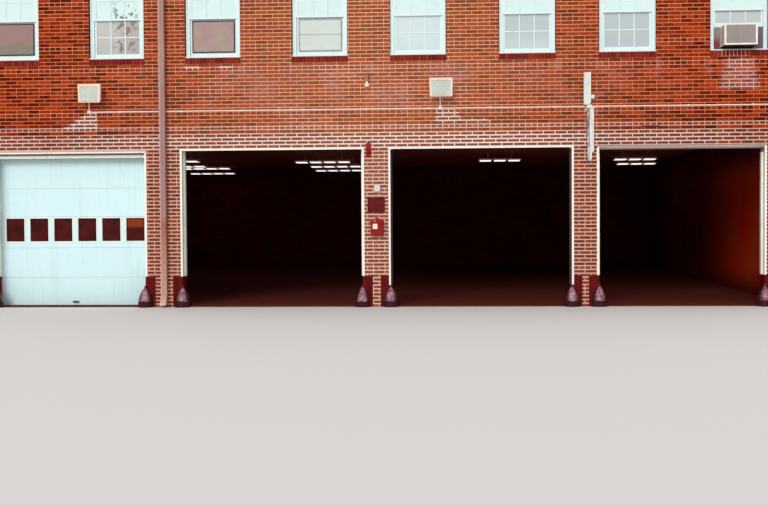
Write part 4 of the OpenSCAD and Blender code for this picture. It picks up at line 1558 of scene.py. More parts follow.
class Paintbox:
    """Makes each finish once and gives the CAD nodes theirs."""

    node_finishes = {
        "concrete": ("floor_slab", "attic_floor"),
        "plaster": ("upper_floor",),
        "steel": ("door_lintels", "door_rails"),
        "white_paint": (
            "front_window_frames", "other_window_frames", "front_upper_sashes", "front_lower_sashes",
            "other_window_sashes",
        ),
        "lining_paint": ("door_tracks",),
        "door_paint": ("closed_door_sections", "raised_door_sections"),
        "handle": ("closed_door_handle",),
        "light_box": ("ceiling_lights",),
        "cast_guard": ("corner_guards",),
        "fitting_white": ("wall_box",),
        "fitting_cream": ("junction_box",),
        "conduit": ("conduit",),
        "red_paint": ("alarm_bell", "call_box"),
        "plaque_metal": ("plaque",),
        "eaves_paint": ("eaves_front_rear", "eaves_sides"),
        "gutter_paint": ("gutters_front_rear", "gutters_sides"),
        "roof_boards": ("roof_deck",),
        "ridge": ("ridge_caps",),
    }

    def __init__(self, nodes: dict[str, Piece]) -> None:
        """Keeps the CAD nodes to paint.

        Args:
            nodes: The frame's nodes by name.
        """
        self.nodes = nodes
        self.made: dict[str, bpy.types.Material] = {}

    def __getitem__(self, name: str) -> bpy.types.Material:
        """The coat of one name, made when it is first wanted.

        Args:
            name: Its name in FINISHES.

        Returns:
            The material.
        """
        if name not in self.made:
            self.made[name] = FINISHES[name].make()
        return self.made[name]

    def coat(self, node: str, finish: bpy.types.Material) -> None:
        """Puts a finish on every material slot of a CAD node.

        Args:
            node: The node's name.
            finish: The material.
        """
        piece = self.nodes[node]
        if not piece.material_slots:
            piece.data.materials.append(finish)
        for slot in piece.material_slots:
            slot.material = finish

    def paint_nodes(self) -> None:
        """Paints every CAD node that stays in sight."""
        for name, nodes in self.node_finishes.items():
            for node in nodes:
                self.coat(node, self[name])
        mortar = {wall: WallFinish(wall).make() for wall in Wall}
        for node in ("end_pier_left", "pier_1", "pier_2", "pier_3", "end_pier_right", "front_wall_upper"):
            self.coat(node, mortar[Wall.FRONT])
        for node, wall in (("left_wall", Wall.LEFT), ("right_wall", Wall.RIGHT), ("rear_wall", Wall.REAR)):
            self.coat(node, mortar[wall])
        self.coat("brick_sills", SillMortarFinish().make())
        self.coat("roof_slates", SlateFinish().make())
        self.coat("downspout", SpoutFinish().make())
        self.coat("hanging_sleeve", SleeveFinish().make())
        self.coat("lamp_holder", HolderFinish().make())
        lining = LiningFinish().make()
        self.coat("door_jamb_linings", lining)
        self.coat("door_head_linings", lining)
        self.coat("front_window_glass", FrontGlassFinish().make())
        self.coat("other_window_glass", GlassFinish("side_glass", paint(206, 222, 226), 0.35, 0.45).make())
        dark = DoorGlassFinish().make()
        self.coat("closed_door_glass", dark)
        self.coat("raised_door_glass", dark)


# Sub-assemblies


@dataclass
class Masonry:
    """The bricks of all four walls, on one grid, and the bricks on edge under the windows."""

    box: Paintbox
    sill_count: int = 15
    sill_proud: float = 0.005

    def strips(self, wall: Wall, low: float) -> list[Area]:
        """The rectangles of brickwork round the windows.

        Args:
            wall: The wall.
            low: Height at which its full-width part starts.

        Returns:
            Left, right, lower and upper edge of each.
        """
        end = HALF_W + BOND.proud if wall in (Wall.FRONT, Wall.REAR) else HALF_D
        edges = [-end]
        for middle in wall.windows:
            edges += [middle - WINDOW_W / 2, middle + WINDOW_W / 2]
        edges.append(end)
        rows = [(-end, end, low, SILL), (-end, end, WINDOW_HEAD, WALL_TOP)]
        return rows + [(edges[i], edges[i + 1], SILL, WINDOW_HEAD) for i in range(0, len(edges), 2)]

    def walls(self) -> None:
        """The bricks of each wall. Over the front's bays the header courses lie differently."""
        for wall in Wall:
            front = wall is Wall.FRONT
            areas = self.strips(wall, BOND.height(BOND.ticked + 1) if front else 0.0)
            if front:
                end = HALF_W + BOND.proud
                edges = [-end] + [x for bay in BAYS for x in bay] + [end]
                level = BOND.height(BOND.ticked - 2)
                areas += [(edges[i], edges[i + 1], 0.0, DOOR_HEAD) for i in range(0, 10, 2)]
                areas.append((-end, end, DOOR_HEAD, level))
            fields = [BOND.field(wall, area, front) for area in areas]
            if front:
                area = (-end, end, level, level + 3 * BOND.course)
                fields.append(BOND.field(wall, area, True, BOND.over_bays, 3))
            bricks = moved(joined(f"{wall.value}_bricks", fields), wall.place)
            dress(bricks, BrickFinish(wall).make())

    def sills(self) -> None:
        """Bricks on edge under every window."""
        pitch = WINDOW_W / self.sill_count
        brick = block(
            "sill_brick",
            (-WINDOW_W / 2 + 0.005, FRONT - 0.014 - self.sill_proud, SILL + 0.004),
            (-WINDOW_W / 2 + pitch - 0.005, FRONT + 0.05, WINDOW - 0.003),
        )
        bevelled(brick, 0.004, 1)
        row = repeated(brick, self.sill_count, (pitch, 0, 0))
        places = [wall.place @ shift(x) for wall in Wall for x in wall.windows]
        dress(spread("sill_bricks", row, places), SillFinish().make())

    def build(self) -> None:
        """Builds and dresses the brickwork."""
        self.walls()
        self.sills()


@dataclass
class Windows:
    """Glazing bars, dark strips of painted shade at the meeting rails, screens, slatted blinds and curtains.
    """

    box: Paintbox
    inner: float = 0.404
    bar: float = 0.022
    low_glass: tuple[float, float] = (4.739, 5.364)
    high_glass: tuple[float, float] = (5.396, 6.065)
    screened: tuple[int, ...] = (0, 2, 3)
    curtained: tuple[int, ...] = (1, 4, 5, 6, 7)
    strip_half: float = 0.43
    strip_z: tuple[float, float] = (5.37, 5.394)
    strip_y: tuple[float, float] = (0.078, 0.108)
    screen_half: float = 0.402
    screen_z: tuple[float, float] = (4.741, 5.335)
    slat_pitch: float = 0.022
    cloth_depth: float = 0.011
    cloth_top: float = 6.125
    hem: float = 4.685
    high_hem: float = 5.175
    narrow: int = 1

    def bars(self, upper: bool) -> Piece:
        """One sash's glazing bars, three panes by two, for a window in the middle of the front.

        Args:
            upper: Whether it is the upper sash.

        Returns:
            Its bars.
        """
        low, high = self.high_glass if upper else self.low_glass
        y = FRONT + (0.074 if upper else 0.112)
        half = self.bar / 2
        upright = block("bar", (-half, y, low), (half, y + 0.03, high))
        bevelled(upright, 0.006, 2)
        moved(upright, shift(-self.inner / 3))
        repeated(upright, 2, (self.inner * 2 / 3, 0, 0))
        middle = (low + high) / 2
        across = block("bar", (-self.inner, y + 0.002, middle - half), (self.inner, y + 0.028, middle + half))
        bevelled(across, 0.006, 2)
        return joined("bars", [upright, across])

    def glazing(self) -> None:
        """Glazing bars of every sash, and a dark strip of painted shade over each meeting rail."""
        white = self.box["white_paint"]
        cooler = FRONT_WINDOWS[COOLER_WINDOW]
        lifted = [shift(x, 0, RAISED_SASH if x == cooler else 0) for x in FRONT_WINDOWS]
        plain = [shift(x) for x in FRONT_WINDOWS]
        front = [spread("low", self.bars(False), lifted), spread("high", self.bars(True), plain)]
        dress(joined("front_glazing_bars", front), white)
        places = [wall.place @ shift(x) for wall in OTHER_WALLS for x in wall.windows]
        other = [spread("low", self.bars(False), places), spread("high", self.bars(True), places)]
        dress(joined("other_glazing_bars", other), white)
        (near, far), (foot, head) = self.strip_y, self.strip_z
        # Under each upper sash a dark strip stands in for the shade on the lower sash's top rail: painted
        # shade, not a weather strip.
        strip = block("strip", (-self.strip_half, FRONT + near, foot), (self.strip_half, FRONT + far, head))
        with editing(strip, lambda c, n: n.z < -0.9):
            bpy.ops.transform.resize(value=(1, 0.5, 1), center_override=(0, FRONT + far, foot))
        bevelled(strip, 0.003, 1)
        every = plain + places
        pale = paint(150, 152, 148)
        tones = ((1, paint(96, 90, 88)), (3, pale), (6, paint(84, 84, 84)))
        dark = EdgeFinish("meeting_rail_painted_shade", tones).make()
        dress(spread("meeting_rail_painted_shades", strip, every), dark)

    def putty_and_shadow_rings(self) -> None:
        """A dark ring in the corner between the brickwork and each window's frame: partly putty, partly a
        painted shadow in the reveal.
        """
        y, half = FRONT + 0.045, WINDOW_W / 2
        line = ring_frame("line", (-half, y - 0.015, WINDOW), (half, y - 0.0002, WINDOW_HEAD), 0.012)
        bevelled(line, 0.003, 1)
        dark = CoatFinish(
            "putty_and_painted_shadow", paint(52, 24, 16), paint(84, 44, 30), paint(26, 10, 8), 0.5, 0.2, 0.1, 0.8
        ).make()
        places = [wall.place @ shift(x) for wall in Wall for x in wall.windows]
        dress(spread("window_putty_and_shadow", line, places), dark)

    def screens(self) -> None:
        """Half screens over three lower sashes."""
        half, (low, high) = self.screen_half, self.screen_z
        frame = ring_frame("screen_frame", (-half, FRONT + 0.086, low), (half, FRONT + 0.1, high), 0.02)
        bevelled(frame, 0.003, 1)
        half, low, high = half - 0.019, low + 0.019, high - 0.019
        mesh = block("screen_mesh", (-half, FRONT + 0.092, low), (half, FRONT + 0.0925, high))
        with editing(mesh, lambda c, n: n.y < -0.9):
            bpy.ops.mesh.inset(thickness=0.01, depth=-0.0001)
        places = [shift(FRONT_WINDOWS[i]) for i in self.screened]
        # The screen frames' dark colour is a painted shadow gap round each screen, paler on the fourth
        # window.
        edge = EdgeFinish("screen_edge_painted_shadow", ((3, paint(168, 168, 158)),)).make()
        dress(spread("screen_frames", frame, places), edge)
        dress(spread("screen_meshes", mesh, places), ScreenFinish().make())

    def blind(self, drop: float) -> Piece:
        """A slatted blind with its rails and tapes, for a window in the middle of the front.

        Args:
            drop: How far it hangs down.

        Returns:
            The blind.
        """
        head, y = WINDOW_HEAD - 0.002, FRONT + 0.195
        rail = block("rail", (-0.515, y - 0.014, head - 0.035), (0.515, y + 0.014, head))
        with editing(rail, lambda c, n: n.y < -0.9):
            bpy.ops.mesh.inset(thickness=0.006, depth=-0.002)
        bevelled(rail, 0.003, 2)
        count = int((drop - 0.07) / self.slat_pitch)
        slat = block("slat", (-0.512, y - 0.0125, head - 0.055), (0.512, y + 0.0125, head - 0.0538))
        with editing(slat):
            bpy.ops.transform.rotate(value=0.9, orient_axis="X", center_override=(0, y, head - 0.0545))
        with editing(slat, lambda c, n: n.y < -0.9 or n.y > 0.9):
            bpy.ops.transform.translate(value=(0, 0, -0.001))
        repeated(slat, count, (0, 0, -self.slat_pitch))
        low = head - 0.055 - count * self.slat_pitch
        foot = block("foot", (-0.513, y - 0.01, low - 0.004), (0.513, y + 0.01, low + 0.012))
        bevelled(foot, 0.004, 2)
        tape = block("tape", (-0.38, y - 0.0125, low), (-0.355, y - 0.0115, head - 0.03))
        with editing(tape, lambda c, n: n.y < -0.9):
            bpy.ops.mesh.inset(thickness=0.003, depth=0.0003)
        repeated(tape, 2, (0.735, 0, 0))
        return joined("blind", [rail, slat, foot, tape])

    def blinds(self) -> None:
        """Slatted blinds behind three front windows and all the other walls' windows."""
        places = [shift(FRONT_WINDOWS[i]) for i in self.screened]
        front = spread("front_blinds", self.blind(1.4), places)
        dress(front, self.box["blind"], ["front_window_blinds"])
        places = [wall.place @ shift(x) for wall in OTHER_WALLS for x in wall.windows]
        other = spread("other_blinds", self.blind(1.1), places)
        dress(other, self.box["blind"], ["other_window_blinds"])

    def curtain(self, name: str, x0: float, x1: float, low: float, folds: int) -> Piece:
        """A gathered curtain of fine folds, hanging from its rod.

        Args:
            name: The piece's name.
            x0: Left edge.
            x1: Right edge.
            low: Height of its hem.
            folds: Number of folds.

        Returns:
            The cloth.
        """
        top, y, columns = self.cloth_top, FRONT + 0.2, folds * 8
        bpy.ops.object.select_all(action="DESELECT")
        bpy.ops.mesh.primitive_grid_add(x_subdivisions=columns, y_subdivisions=10, size=1)
        cloth = bpy.context.object
        cloth.name = cloth.data.name = name
        for vertex in cloth.data.vertices:
            share, fall = vertex.co.x + 0.5, 0.5 - vertex.co.y
            phase = share * folds * 2 * math.pi
            sway = 0.009 + 0.004 * math.sin(share * 23 + fall * 2)
            vertex.co = (
                x0 + (x1 - x0) * share + 0.004 * math.sin(phase * 0.5 + 3 * fall),
                y + sway * math.sin(phase + 0.4 * math.sin(fall * 4)),
                top - (top - low) * fall,
            )
        modified(cloth, "SOLIDIFY", thickness=0.001, offset=0)
        smoothed(cloth, 60)
        steps = 96
        waves = [self.cloth_depth * math.sin(i * folds * 2 * math.pi / steps) for i in range(steps + 1)]
        cut = sum(math.hypot((x1 - x0) / steps, b - a) for a, b in zip(waves, waves[1:]))
        return cloth

    def curtains(self) -> None:
        """Rods and curtains of the other front windows."""
        rod = turned(
            "rod",
            (-0.51, FRONT + 0.2, self.cloth_top + 0.004),
            [(0.006, 0), (0.007, 0.002), (0.007, 1.018), (0.006, 1.02)],
            turn=(0, 90, 0),
            sides=12,
        )
        places = [shift(FRONT_WINDOWS[i]) for i in self.curtained]
        dress(spread("curtain_rods", rod, places), self.box["steel"])
        cloth = ClothFinish("curtain_cloth", paint(214, 222, 220), paint(176, 176, 178)).make()
        for index in self.curtained:
            middle = FRONT_WINDOWS[index]
            low = self.high_hem if index == COOLER_WINDOW else self.hem
            right, folds = (-0.14, 7) if index == self.narrow else (0.5, 19)
            piece = self.curtain(f"curtain_{index + 1}", middle - 0.5, middle + right, low, folds)
            dress(piece, cloth)

    def build(self) -> None:
        """Builds everything in the windows."""
        self.glazing()
        self.putty_and_shadow_rings()
        self.screens()
        self.blinds()
        self.curtains()


@dataclass
class AirConditioner:
    """The window unit with its grille, side louvres and pleated side panels."""

    box: Paintbox
    middle: float = FRONT_WINDOWS[COOLER_WINDOW] - 0.029
    width: float = 0.588
    low: float = 4.693
    high: float = 5.066
    out: float = 0.27
    seat: float = 4.661
    sash_half: float = 0.4437

    def case(self) -> Piece:
        """The case with a stepped face and recessed grille bed.

        Returns:
            The case on its foot.
        """
        face = FRONT - self.out
        left, right = self.middle - self.width / 2, self.middle + self.width / 2
        case = block("cooler", (left, face, self.low), (right, FRONT + 0.42, self.high))
        front: Test = lambda c, n: n.y < -0.9 and c.y < face + 0.001 and abs(c.x - self.middle) < 0.01
        with editing(case, front):
            bpy.ops.mesh.inset(thickness=0.036, depth=0)
            taller = (self.high - self.low - 0.05) / (self.high - self.low - 0.072)
            bpy.ops.transform.resize(
                value=(1, 1, taller), center_override=(self.middle, face, self.low + 0.036)
            )
        with editing(case, lambda c, n: front(c, n) and abs(c.z - (self.low + self.high) / 2) < 0.03):
            bpy.ops.mesh.extrude_region_move(TRANSFORM_OT_translate={"value": (0, 0.014, 0)})
        bevelled(case, 0.006, 2)
        foot = block(
            "foot",
            (left + 0.06, FRONT + 0.109, self.seat),
            (right - 0.06, FRONT + 0.169, self.low + 0.002),
        )
        return joined("air_conditioner_case", [case, bevelled(foot, 0.004, 1)])

    def louvres(self) -> Piece:
        """Fine bars over the face, and slots down both sides.

        Returns:
            The louvres.
        """
        face = FRONT - self.out
        bar = block(
            "bar",
            (self.middle - self.width / 2 + 0.037, face + 0.002, self.low + 0.038),
            (self.middle + self.width / 2 - 0.037, face + 0.013, self.low + 0.0425),
        )
        with editing(bar, lambda c, n: n.y < -0.9):
            bpy.ops.transform.translate(value=(0, 0, -0.002))
        repeated(bar, 38, (0, 0, 0.0084))
        stay = block(
            "stay",
            (self.middle - 0.003, face + 0.003, self.low + 0.037),
            (self.middle + 0.003, face + 0.012, self.high - 0.015),
        )
        bevelled(stay, 0.001, 1)
        moved(stay, shift(-0.18))
        repeated(stay, 3, (0.18, 0, 0))
        sides = []
        for side in (-1, 1):
            x = self.middle + side * self.width / 2
            fin = block(
                "fin", (x - 0.004, face + 0.05, self.low + 0.05), (x + 0.004, face + 0.22, self.low + 0.056)
            )
            with editing(fin, lambda c, n: n.x * side > 0.9):
                bpy.ops.transform.translate(value=(0, 0, -0.006))
            sides.append(repeated(fin, 19, (0, 0, 0.0155)))
        return joined("air_conditioner_louvres", [bar, stay, *sides])

    def panels(self) -> Piece:
        """Pleated panels between the unit and the sash's sides.

        Returns:
            The panels.
        """
        y, window, pieces = FRONT + 0.115, FRONT_WINDOWS[COOLER_WINDOW], []
        left, right = (self.middle - window + side * self.width / 2 for side in (-1, 1))
        for low, high in ((-self.sash_half, left), (right, self.sash_half)):
            count = round((high - low) / 0.012)
            pitch = (high - low) / count
            pleat = block("pleat", (0, y + 0.006, self.seat + 0.001), (pitch, y + 0.018, self.high))
            with editing(pleat, lambda c, n: n.y < -0.9):
                bpy.ops.transform.resize(value=(0.2, 1, 1))
            with editing(pleat, lambda c, n: n.y < -0.9):
                bpy.ops.transform.translate(value=(0, -0.006, 0))
            moved(pleat, shift(window + low))
            pieces.append(repeated(pleat, count, (pitch, 0, 0)))
        return joined("cooler_side_panels", pieces)

    def build(self) -> None:
        """Builds and dresses the unit."""
        dress(self.case(), CoolerFinish(self.low).make(), ["air_conditioner"])
        grille = CoatFinish(
            "cooler_grille", paint(178, 168, 162), paint(160, 146, 144), paint(110, 92, 90), 0.3, 0.2, 0.1
        ).make()
        dress(self.louvres(), grille)
        dress(self.panels(), PanelFinish().make(), ["ac_side_panels"])


@dataclass
class Bays:
    """Trim of the bays: beads round the door lights, hinges, head rail, guards and hall lights."""

    box: Paintbox
    light_pitch: float = 0.466
    light_z: float = 1.4533
    sill: float = 0.0203
    seams: tuple[float, ...] = (0.527, 1.092, 1.682, 2.222, 2.787)
    door_face: float = FRONT + WALL_T + 0.012
    door_t: float = 0.045
    guard_r: float = 0.15
    guard_h: float = 0.4
    guard_foot: float = 0.112
    knob_r: float = 0.028
    rail_z: float = 2.896
    rail_knobs: tuple[float, float] = (-5.919, -4.338)
    hinge_x: tuple[float, ...] = (-1.4, -0.7, 0, 0.7, 1.4)
    bolt_in: float = 0.11
    bolt_z: tuple[float, ...] = (0.18, 0.36, 0.52)
    tube_pitch: float = 0.37
    lens_half: tuple[float, float] = (0.145, 0.166)
    lens_z: tuple[float, float] = (3.089, 3.112)
    lights: tuple[tuple[int, float, float, int], ...] = (
        (0, -0.018, 0.447, 4), (0, -0.478, 0.6115, 4), (0, -0.078, 0.694, 4), (0, -0.668, 0.9077, 4),
        (1, -0.073, 0.5055, 4), (1, -0.013, 0.6585, 4), (1, -0.213, 0.8175, 4),
        (2, 0.67, 0.502, 3), (3, 0.489, 0.502, 3), (3, 0.924, 0.6514, 3),
    )

    def beads(self) -> Piece:
        """White beads round the six lights of the closed door.

        Returns:
            The beads.
        """
        middle, face = sum(BAYS[0]) / 2, self.door_face
        x = middle - 2.5 * self.light_pitch
        bead = ring_frame(
            "bead",
            (x - 0.198, face - 0.007, self.light_z - 0.24),
            (x + 0.198, face + 0.003, self.light_z + 0.24),
            0.022,
        )
        bevelled(bead, 0.004, 2)
        return joined("door_light_beads", [repeated(bead, 6, (self.light_pitch, 0, 0))])

    def hinges(self) -> Piece:
        """Hinge leaves across the seams at the back of every door.

        Returns:
            The hinges.
        """
        middle, back = sum(BAYS[0]) / 2, self.door_face + self.door_t
        leaf = block("leaf", (-0.035, back - 0.001, -0.05), (0.035, back + 0.004, 0.05))
        bevelled(leaf, 0.002, 1)
        barrel = turned(
            "barrel",
            (-0.035, back + 0.006, 0),
            [(0.007, 0), (0.008, 0.002), (0.008, 0.068), (0.007, 0.07)],
            turn=(0, 90, 0),
            sides=12,
        )
        places = [
            shift(middle + x, 0, self.sill + seam)
            for x in self.hinge_x
            for seam in self.seams
        ]
        return spread("door_hinges", joined("hinge", [leaf, barrel]), places)

    def head_rail(self) -> Piece:
        """A round rail with knobs along the head of the closed bay.

        Returns:
            The rail.
        """
        x0, x1 = BAYS[0]
        z, y = self.rail_z, FRONT - 0.016
        long = x1 - x0 - 0.04
        rail = turned(
            "rail",
            (x0 + 0.02, y, z),
            [(0.012, 0), (0.016, 0.004), (0.016, long - 0.004), (0.012, long)],
            turn=(0, 90, 0),
            sides=16,
        )
        knob = [(0.012, 0), (0.02, 0.006), (0.022, 0.016), (0.014, 0.026), (0.004, 0.03)]
        knobs = [turned("knob", (x, y - 0.008, z), knob, (90, 0, 0), 16) for x in self.rail_knobs]
        return joined("bay_head_rail", [rail, *knobs])

    def wheel_guards(self) -> Piece:
        """Bell-shaped castings with a foot ring and a knob, cut away where the pier stands.

        Returns:
            The castings.
        """
        guards = []
        foot_r = self.guard_r - 0.009
        bell_r, neck_r = foot_r - 0.008, self.knob_r - 0.008
        neck_z = self.guard_h - 1.1 * self.knob_r
        profile = [
            (self.guard_r - 0.003, 0), (self.guard_r, 0.003), (self.guard_r, 0.01), (foot_r, 0.024),
            (foot_r, self.guard_foot - 0.012), (foot_r - 0.003, self.guard_foot - 0.004),
        ]
        for step in range(9):
            t = step / 8
            height = self.guard_foot + (neck_z - self.guard_foot) * t
            profile.append((neck_r + (bell_r - neck_r) * (1 - t * t), height))
        profile += [
            (self.knob_r - 0.003, neck_z + 0.008), (self.knob_r - 0.001, neck_z + 0.013),
            (self.knob_r - 0.003, neck_z + 0.019), (0.019, self.guard_h - 0.005),
            (0.006, self.guard_h - 0.001),
        ]
        for left, right in BAYS:
            for jamb, side in ((left, -1), (right, 1)):
                inside, y = jamb - side * 0.038, FRONT - 0.012
                whole = turned("guard", (inside, y, 0), profile, sides=40)
                outer = copied(whole, Matrix.Identity(4))
                cut_off(outer, (0, y, 0), (0, 1, 0))
                inner = cut_off(whole, (inside, 0, 0), (side, 0, 0))
                cut_off(inner, (0, y - 0.001, 0), (0, -1, 0))
                cut_off(inner, (0, 0, 0.02), (0, 0, -1))
                guards += [outer, inner]
        return smoothed(joined("bell_guards", guards), 35)

    def bolts(self) -> Piece:
        """Round-headed bolts on the corner guards.

        Returns:
            The bolts.
        """
        bolt = turned(
            "bolt",
            (0, FRONT - 0.0115, 0),
            [(0.014, 0), (0.013, 0.004), (0.008, 0.008), (0.002, 0.0095)],
            turn=(90, 0, 0),
            sides=12,
        )
        places = [
            shift(jamb + side * self.bolt_in, 0, z)
            for left, right in BAYS
            for jamb, side in ((left, -1), (right, 1))
            for z in self.bolt_z
        ]
        return spread("guard_bolts", bolt, places)

    def lenses(self) -> Piece:
        """Lit lenses wrapped round the front and underside of each hall light.

        Returns:
            The lenses.
        """
        (half, deep), (low, high), made = self.lens_half, self.lens_z, []
        for bay, dx, share, count in self.lights:
            lens = block("lens", (-half, -deep, low), (half, deep, high))
            bevelled(lens, 0.006, 2)
            x = sum(BAYS[bay]) / 2 + dx - (count - 1) * self.tube_pitch / 2
            moved(lens, shift(x, FRONT + share * 2 * HALF_D))
            made.append(repeated(lens, count, (self.tube_pitch, 0, 0)))
        return joined("hall_light_lenses", made)

    def build(self) -> None:
        """Builds and dresses the bays' trim."""
        dress(self.beads(), self.box["lining_paint"])
        dress(self.hinges(), self.box["steel"])
        dress(self.head_rail(), self.box["lining_paint"])
        dress(self.wheel_guards(), GuardFinish().make(), ["wheel_guards"])
        dress(self.bolts(), self.box["cast_guard"])
        dress(self.lenses(), GlowFinish().make())


@dataclass
class Fittings:
    """Floodlights and the small things on pier 2."""

    box: Paintbox
    stem_x: tuple[float, float] = (-5.25, 1.31)
    lamp_shift: tuple[float, float] = (0.07, 0.02)
    lamp_z: tuple[float, float] = (3.982, 4.013)
    lamp_w: float = 0.44
    lamp_h: float = 0.355
    lamp_face: float = FRONT - 0.25
    lamp_back: float = FRONT - 0.06
    plaque_x: float = 0.1175
    call_box_x: float = 0.1045
    junction_box: tuple[float, float] = (0.1385, 2.19)

    def floodlight(self, dx: float) -> Piece:
        """One rounded lamp box round the origin's height, with its bracket and gland.

        Args:
            dx: How far the box stands to the right of its stem.

        Returns:
            The lamp, with its stem over x = 0.
        """
        half, back, face, tall = self.lamp_w / 2, self.lamp_back, self.lamp_face, self.lamp_h / 2
        lamp = block("lamp", (dx - half, face, -tall), (dx + half, back, tall))
        with editing(lamp, lambda c, n: n.y > 0.9):
            bpy.ops.transform.resize(value=(0.84, 1, 0.6), center_override=(dx, back, 0))
        with editing(lamp, lambda c, n: n.z < -0.3):
            bpy.ops.transform.resize(value=(0.95, 1, 1), center_override=(dx, back, -tall))
        bevelled(lamp, 0.018, 4)
        inner: Test = lambda c, n: n.y < -0.98 and abs(c.x - dx) < 0.03 and abs(c.z) < 0.03
        with editing(lamp, inner):
            bpy.ops.mesh.inset(thickness=0.027, depth=0)
            bpy.ops.transform.resize(value=(1, 1, 1.053), center_override=(dx, face, 0.226))
            bpy.ops.mesh.extrude_region_move(TRANSFORM_OT_translate={"value": (0, 0.016, 0)})
        bracket = block("bracket", (-0.07, back - 0.02, -0.07), (0.07, FRONT, 0.035))
        bevelled(bracket, 0.008, 2)
        gland = turned(
            "gland",
            (0, FRONT - 0.015, -tall - 0.024),
            [(0.013, 0), (0.014, 0.004), (0.014, 0.09), (0.012, 0.1)],
            sides=16,
        )
        return smoothed(joined("floodlight", [lamp, bracket, gland]), 40)

    def lens(self, dx: float) -> Piece:
        """A floodlight's ribbed lens, round the origin's height.

        Args:
            dx: How far it stands to the right of the lamp's stem.

        Returns:
            The lens.
        """
        face = self.lamp_face
        lens = block("lens", (dx - 0.17, face + 0.004, -0.148), (dx + 0.17, face + 0.0165, 0.124))
        bevelled(lens, 0.012, 3)
        rib = block("rib", (dx - 0.16, face + 0.002, -0.14), (dx + 0.16, face + 0.006, -0.136))
        bevelled(rib, 0.0015, 1)
        return joined("lens", [lens, repeated(rib, 14, (0, 0, 0.0195))])

    def trim(self) -> None:
        """Borders, screws, a window and a lever on the boxes of pier 2."""
        x = self.plaque_x
        border = ring_frame(
            "border", (x - 0.16, FRONT - 0.023, 1.745), (x + 0.16, FRONT - 0.017, 2.023), 0.016
        )
        bevelled(border, 0.002, 2)
        pad = block("pad", (x - 0.12, FRONT - 0.021, 1.8), (x + 0.12, FRONT - 0.0175, 1.96))
        with editing(pad, lambda c, n: n.y < -0.9):
            bpy.ops.mesh.inset(thickness=0.02, depth=0.001)
        plaque = joined("plaque_border", [border, bevelled(pad, 0.001, 1)])
        dress(plaque, self.box["plaque_metal"])
        x = self.call_box_x
        window = block("window", (x - 0.044, FRONT - 0.139, 1.44), (x + 0.044, FRONT - 0.133, 1.536))
        with editing(window, lambda c, n: n.y < -0.9):
            bpy.ops.mesh.inset(thickness=0.008, depth=-0.002)
        bevelled(window, 0.002, 1)
        lever = turned(
            "lever",
            (x - 0.006, FRONT - 0.121, 1.584),
            [(0.018, 0), (0.02, 0.004), (0.018, 0.012), (0.004, 0.017)],
            turn=(90, 0, 0),
            sides=20,
        )
        pale = CoatFinish(
            "alarm_window", paint(246, 236, 196), paint(226, 208, 160), paint(140, 110, 80),
            0.3, 0.1, 0.1, 0.25,
        ).make()
        dress(joined("call_box_window", [window, lever]), pale)
        screw = turned(
            "screw", (0, FRONT - 0.0545, 0), [(0.006, 0), (0.006, 0.002), (0.002, 0.0035)], (90, 0, 0), 10
        )
        x, z = self.junction_box
        places = [shift(x + dx, 0, z + dz) for dx in (-0.045, 0.045) for dz in (-0.048, 0.048)]
        dress(spread("junction_box_screws", screw, places), self.box["steel"])

    def build(self) -> None:
        """Builds and dresses the fittings."""
        glass = CoatFinish(
            "lamp_lens", paint(196, 204, 190), paint(218, 224, 200), paint(150, 140, 128),
            0.4, 0.1, 0.1, 0.15, 20, 0.0004, 0.0, 0.5,
        ).make()
        lamps, lenses = [], []
        for x, dx, z in zip(self.stem_x, self.lamp_shift, self.lamp_z):
            lamps.append(moved(self.floodlight(dx), shift(x, 0, z)))
            lenses.append(moved(self.lens(dx), shift(x, 0, z)))
        dress(joined("floodlight_boxes", lamps), LampFinish().make(), ["floodlights"])
        dress(joined("floodlight_lenses", lenses), glass)
        self.trim()


@dataclass
class Roof:
    """Courses of slates over the roof's shell."""

    box: Paintbox
    reach: float = 0.495
    half_a: float = HALF_W + reach
    half_b: float = HALF_D + reach
    slope: float = 0.45
    low: float = WALL_TOP - 0.045 * slope + 0.034
    flat: float = 0.18238
    width: float = 0.25
    lap: float = 0.03

    def plane(self, end: bool) -> Piece:
        """The slates of one slope, made along X for the eaves at -Y.

        Args:
            end: Whether it is the shorter slope at the front or rear.

        Returns:
            The slates, cut to the hips.
        """
        half, depth = (self.half_a, self.half_b) if end else (self.half_b, self.half_a)
        flat, run = self.flat, self.half_a
        rows = math.ceil(run / flat)
        count = math.ceil(2 * half / self.width) + 1
        lift = flat * self.slope
        made = []
        for offset, first in ((0.0, 0), (0.5, 1)):
            x = -count * self.width / 2 - self.width * offset
            y, z = -depth + first * flat, self.low + first * lift
            long = flat + self.lap
            slate = block("slate", (x + 0.002, y, z - 0.004), (x + self.width - 0.002, y + long, z + 0.009))
            with editing(slate, lambda c, n: n.y > 0.9):
                bpy.ops.transform.translate(value=(0, 0, long * self.slope - 0.004))
            repeated(slate, count + 1, (self.width, 0, 0))
            made.append(repeated(slate, (rows + 1 - first) // 2, (0, 2 * flat, 2 * lift)))
        slates = joined("slates", made)
        cut_off(slates, (0, -depth + run, 0), (0, 1, 0))
        cut_off(slates, (-half, -depth, 0), (-1, 1, 0))
        return cut_off(slates, (half, -depth, 0), (1, 1, 0))

    def build(self) -> None:
        """Builds and dresses the slates."""
        ends, sides = self.plane(True), self.plane(False)
        turn = [Matrix.Rotation(math.radians(a), 4, "Z") for a in (0, 180, 90, 270)]
        pieces = [copied(plane, matrix) for plane, matrix in zip((ends, ends, sides, sides), turn)]
        for pattern in (ends, sides):
            bpy.data.objects.remove(pattern)
        slates = joined("slate_courses", pieces)
        dress(slates, bpy.data.materials["split_slate"])


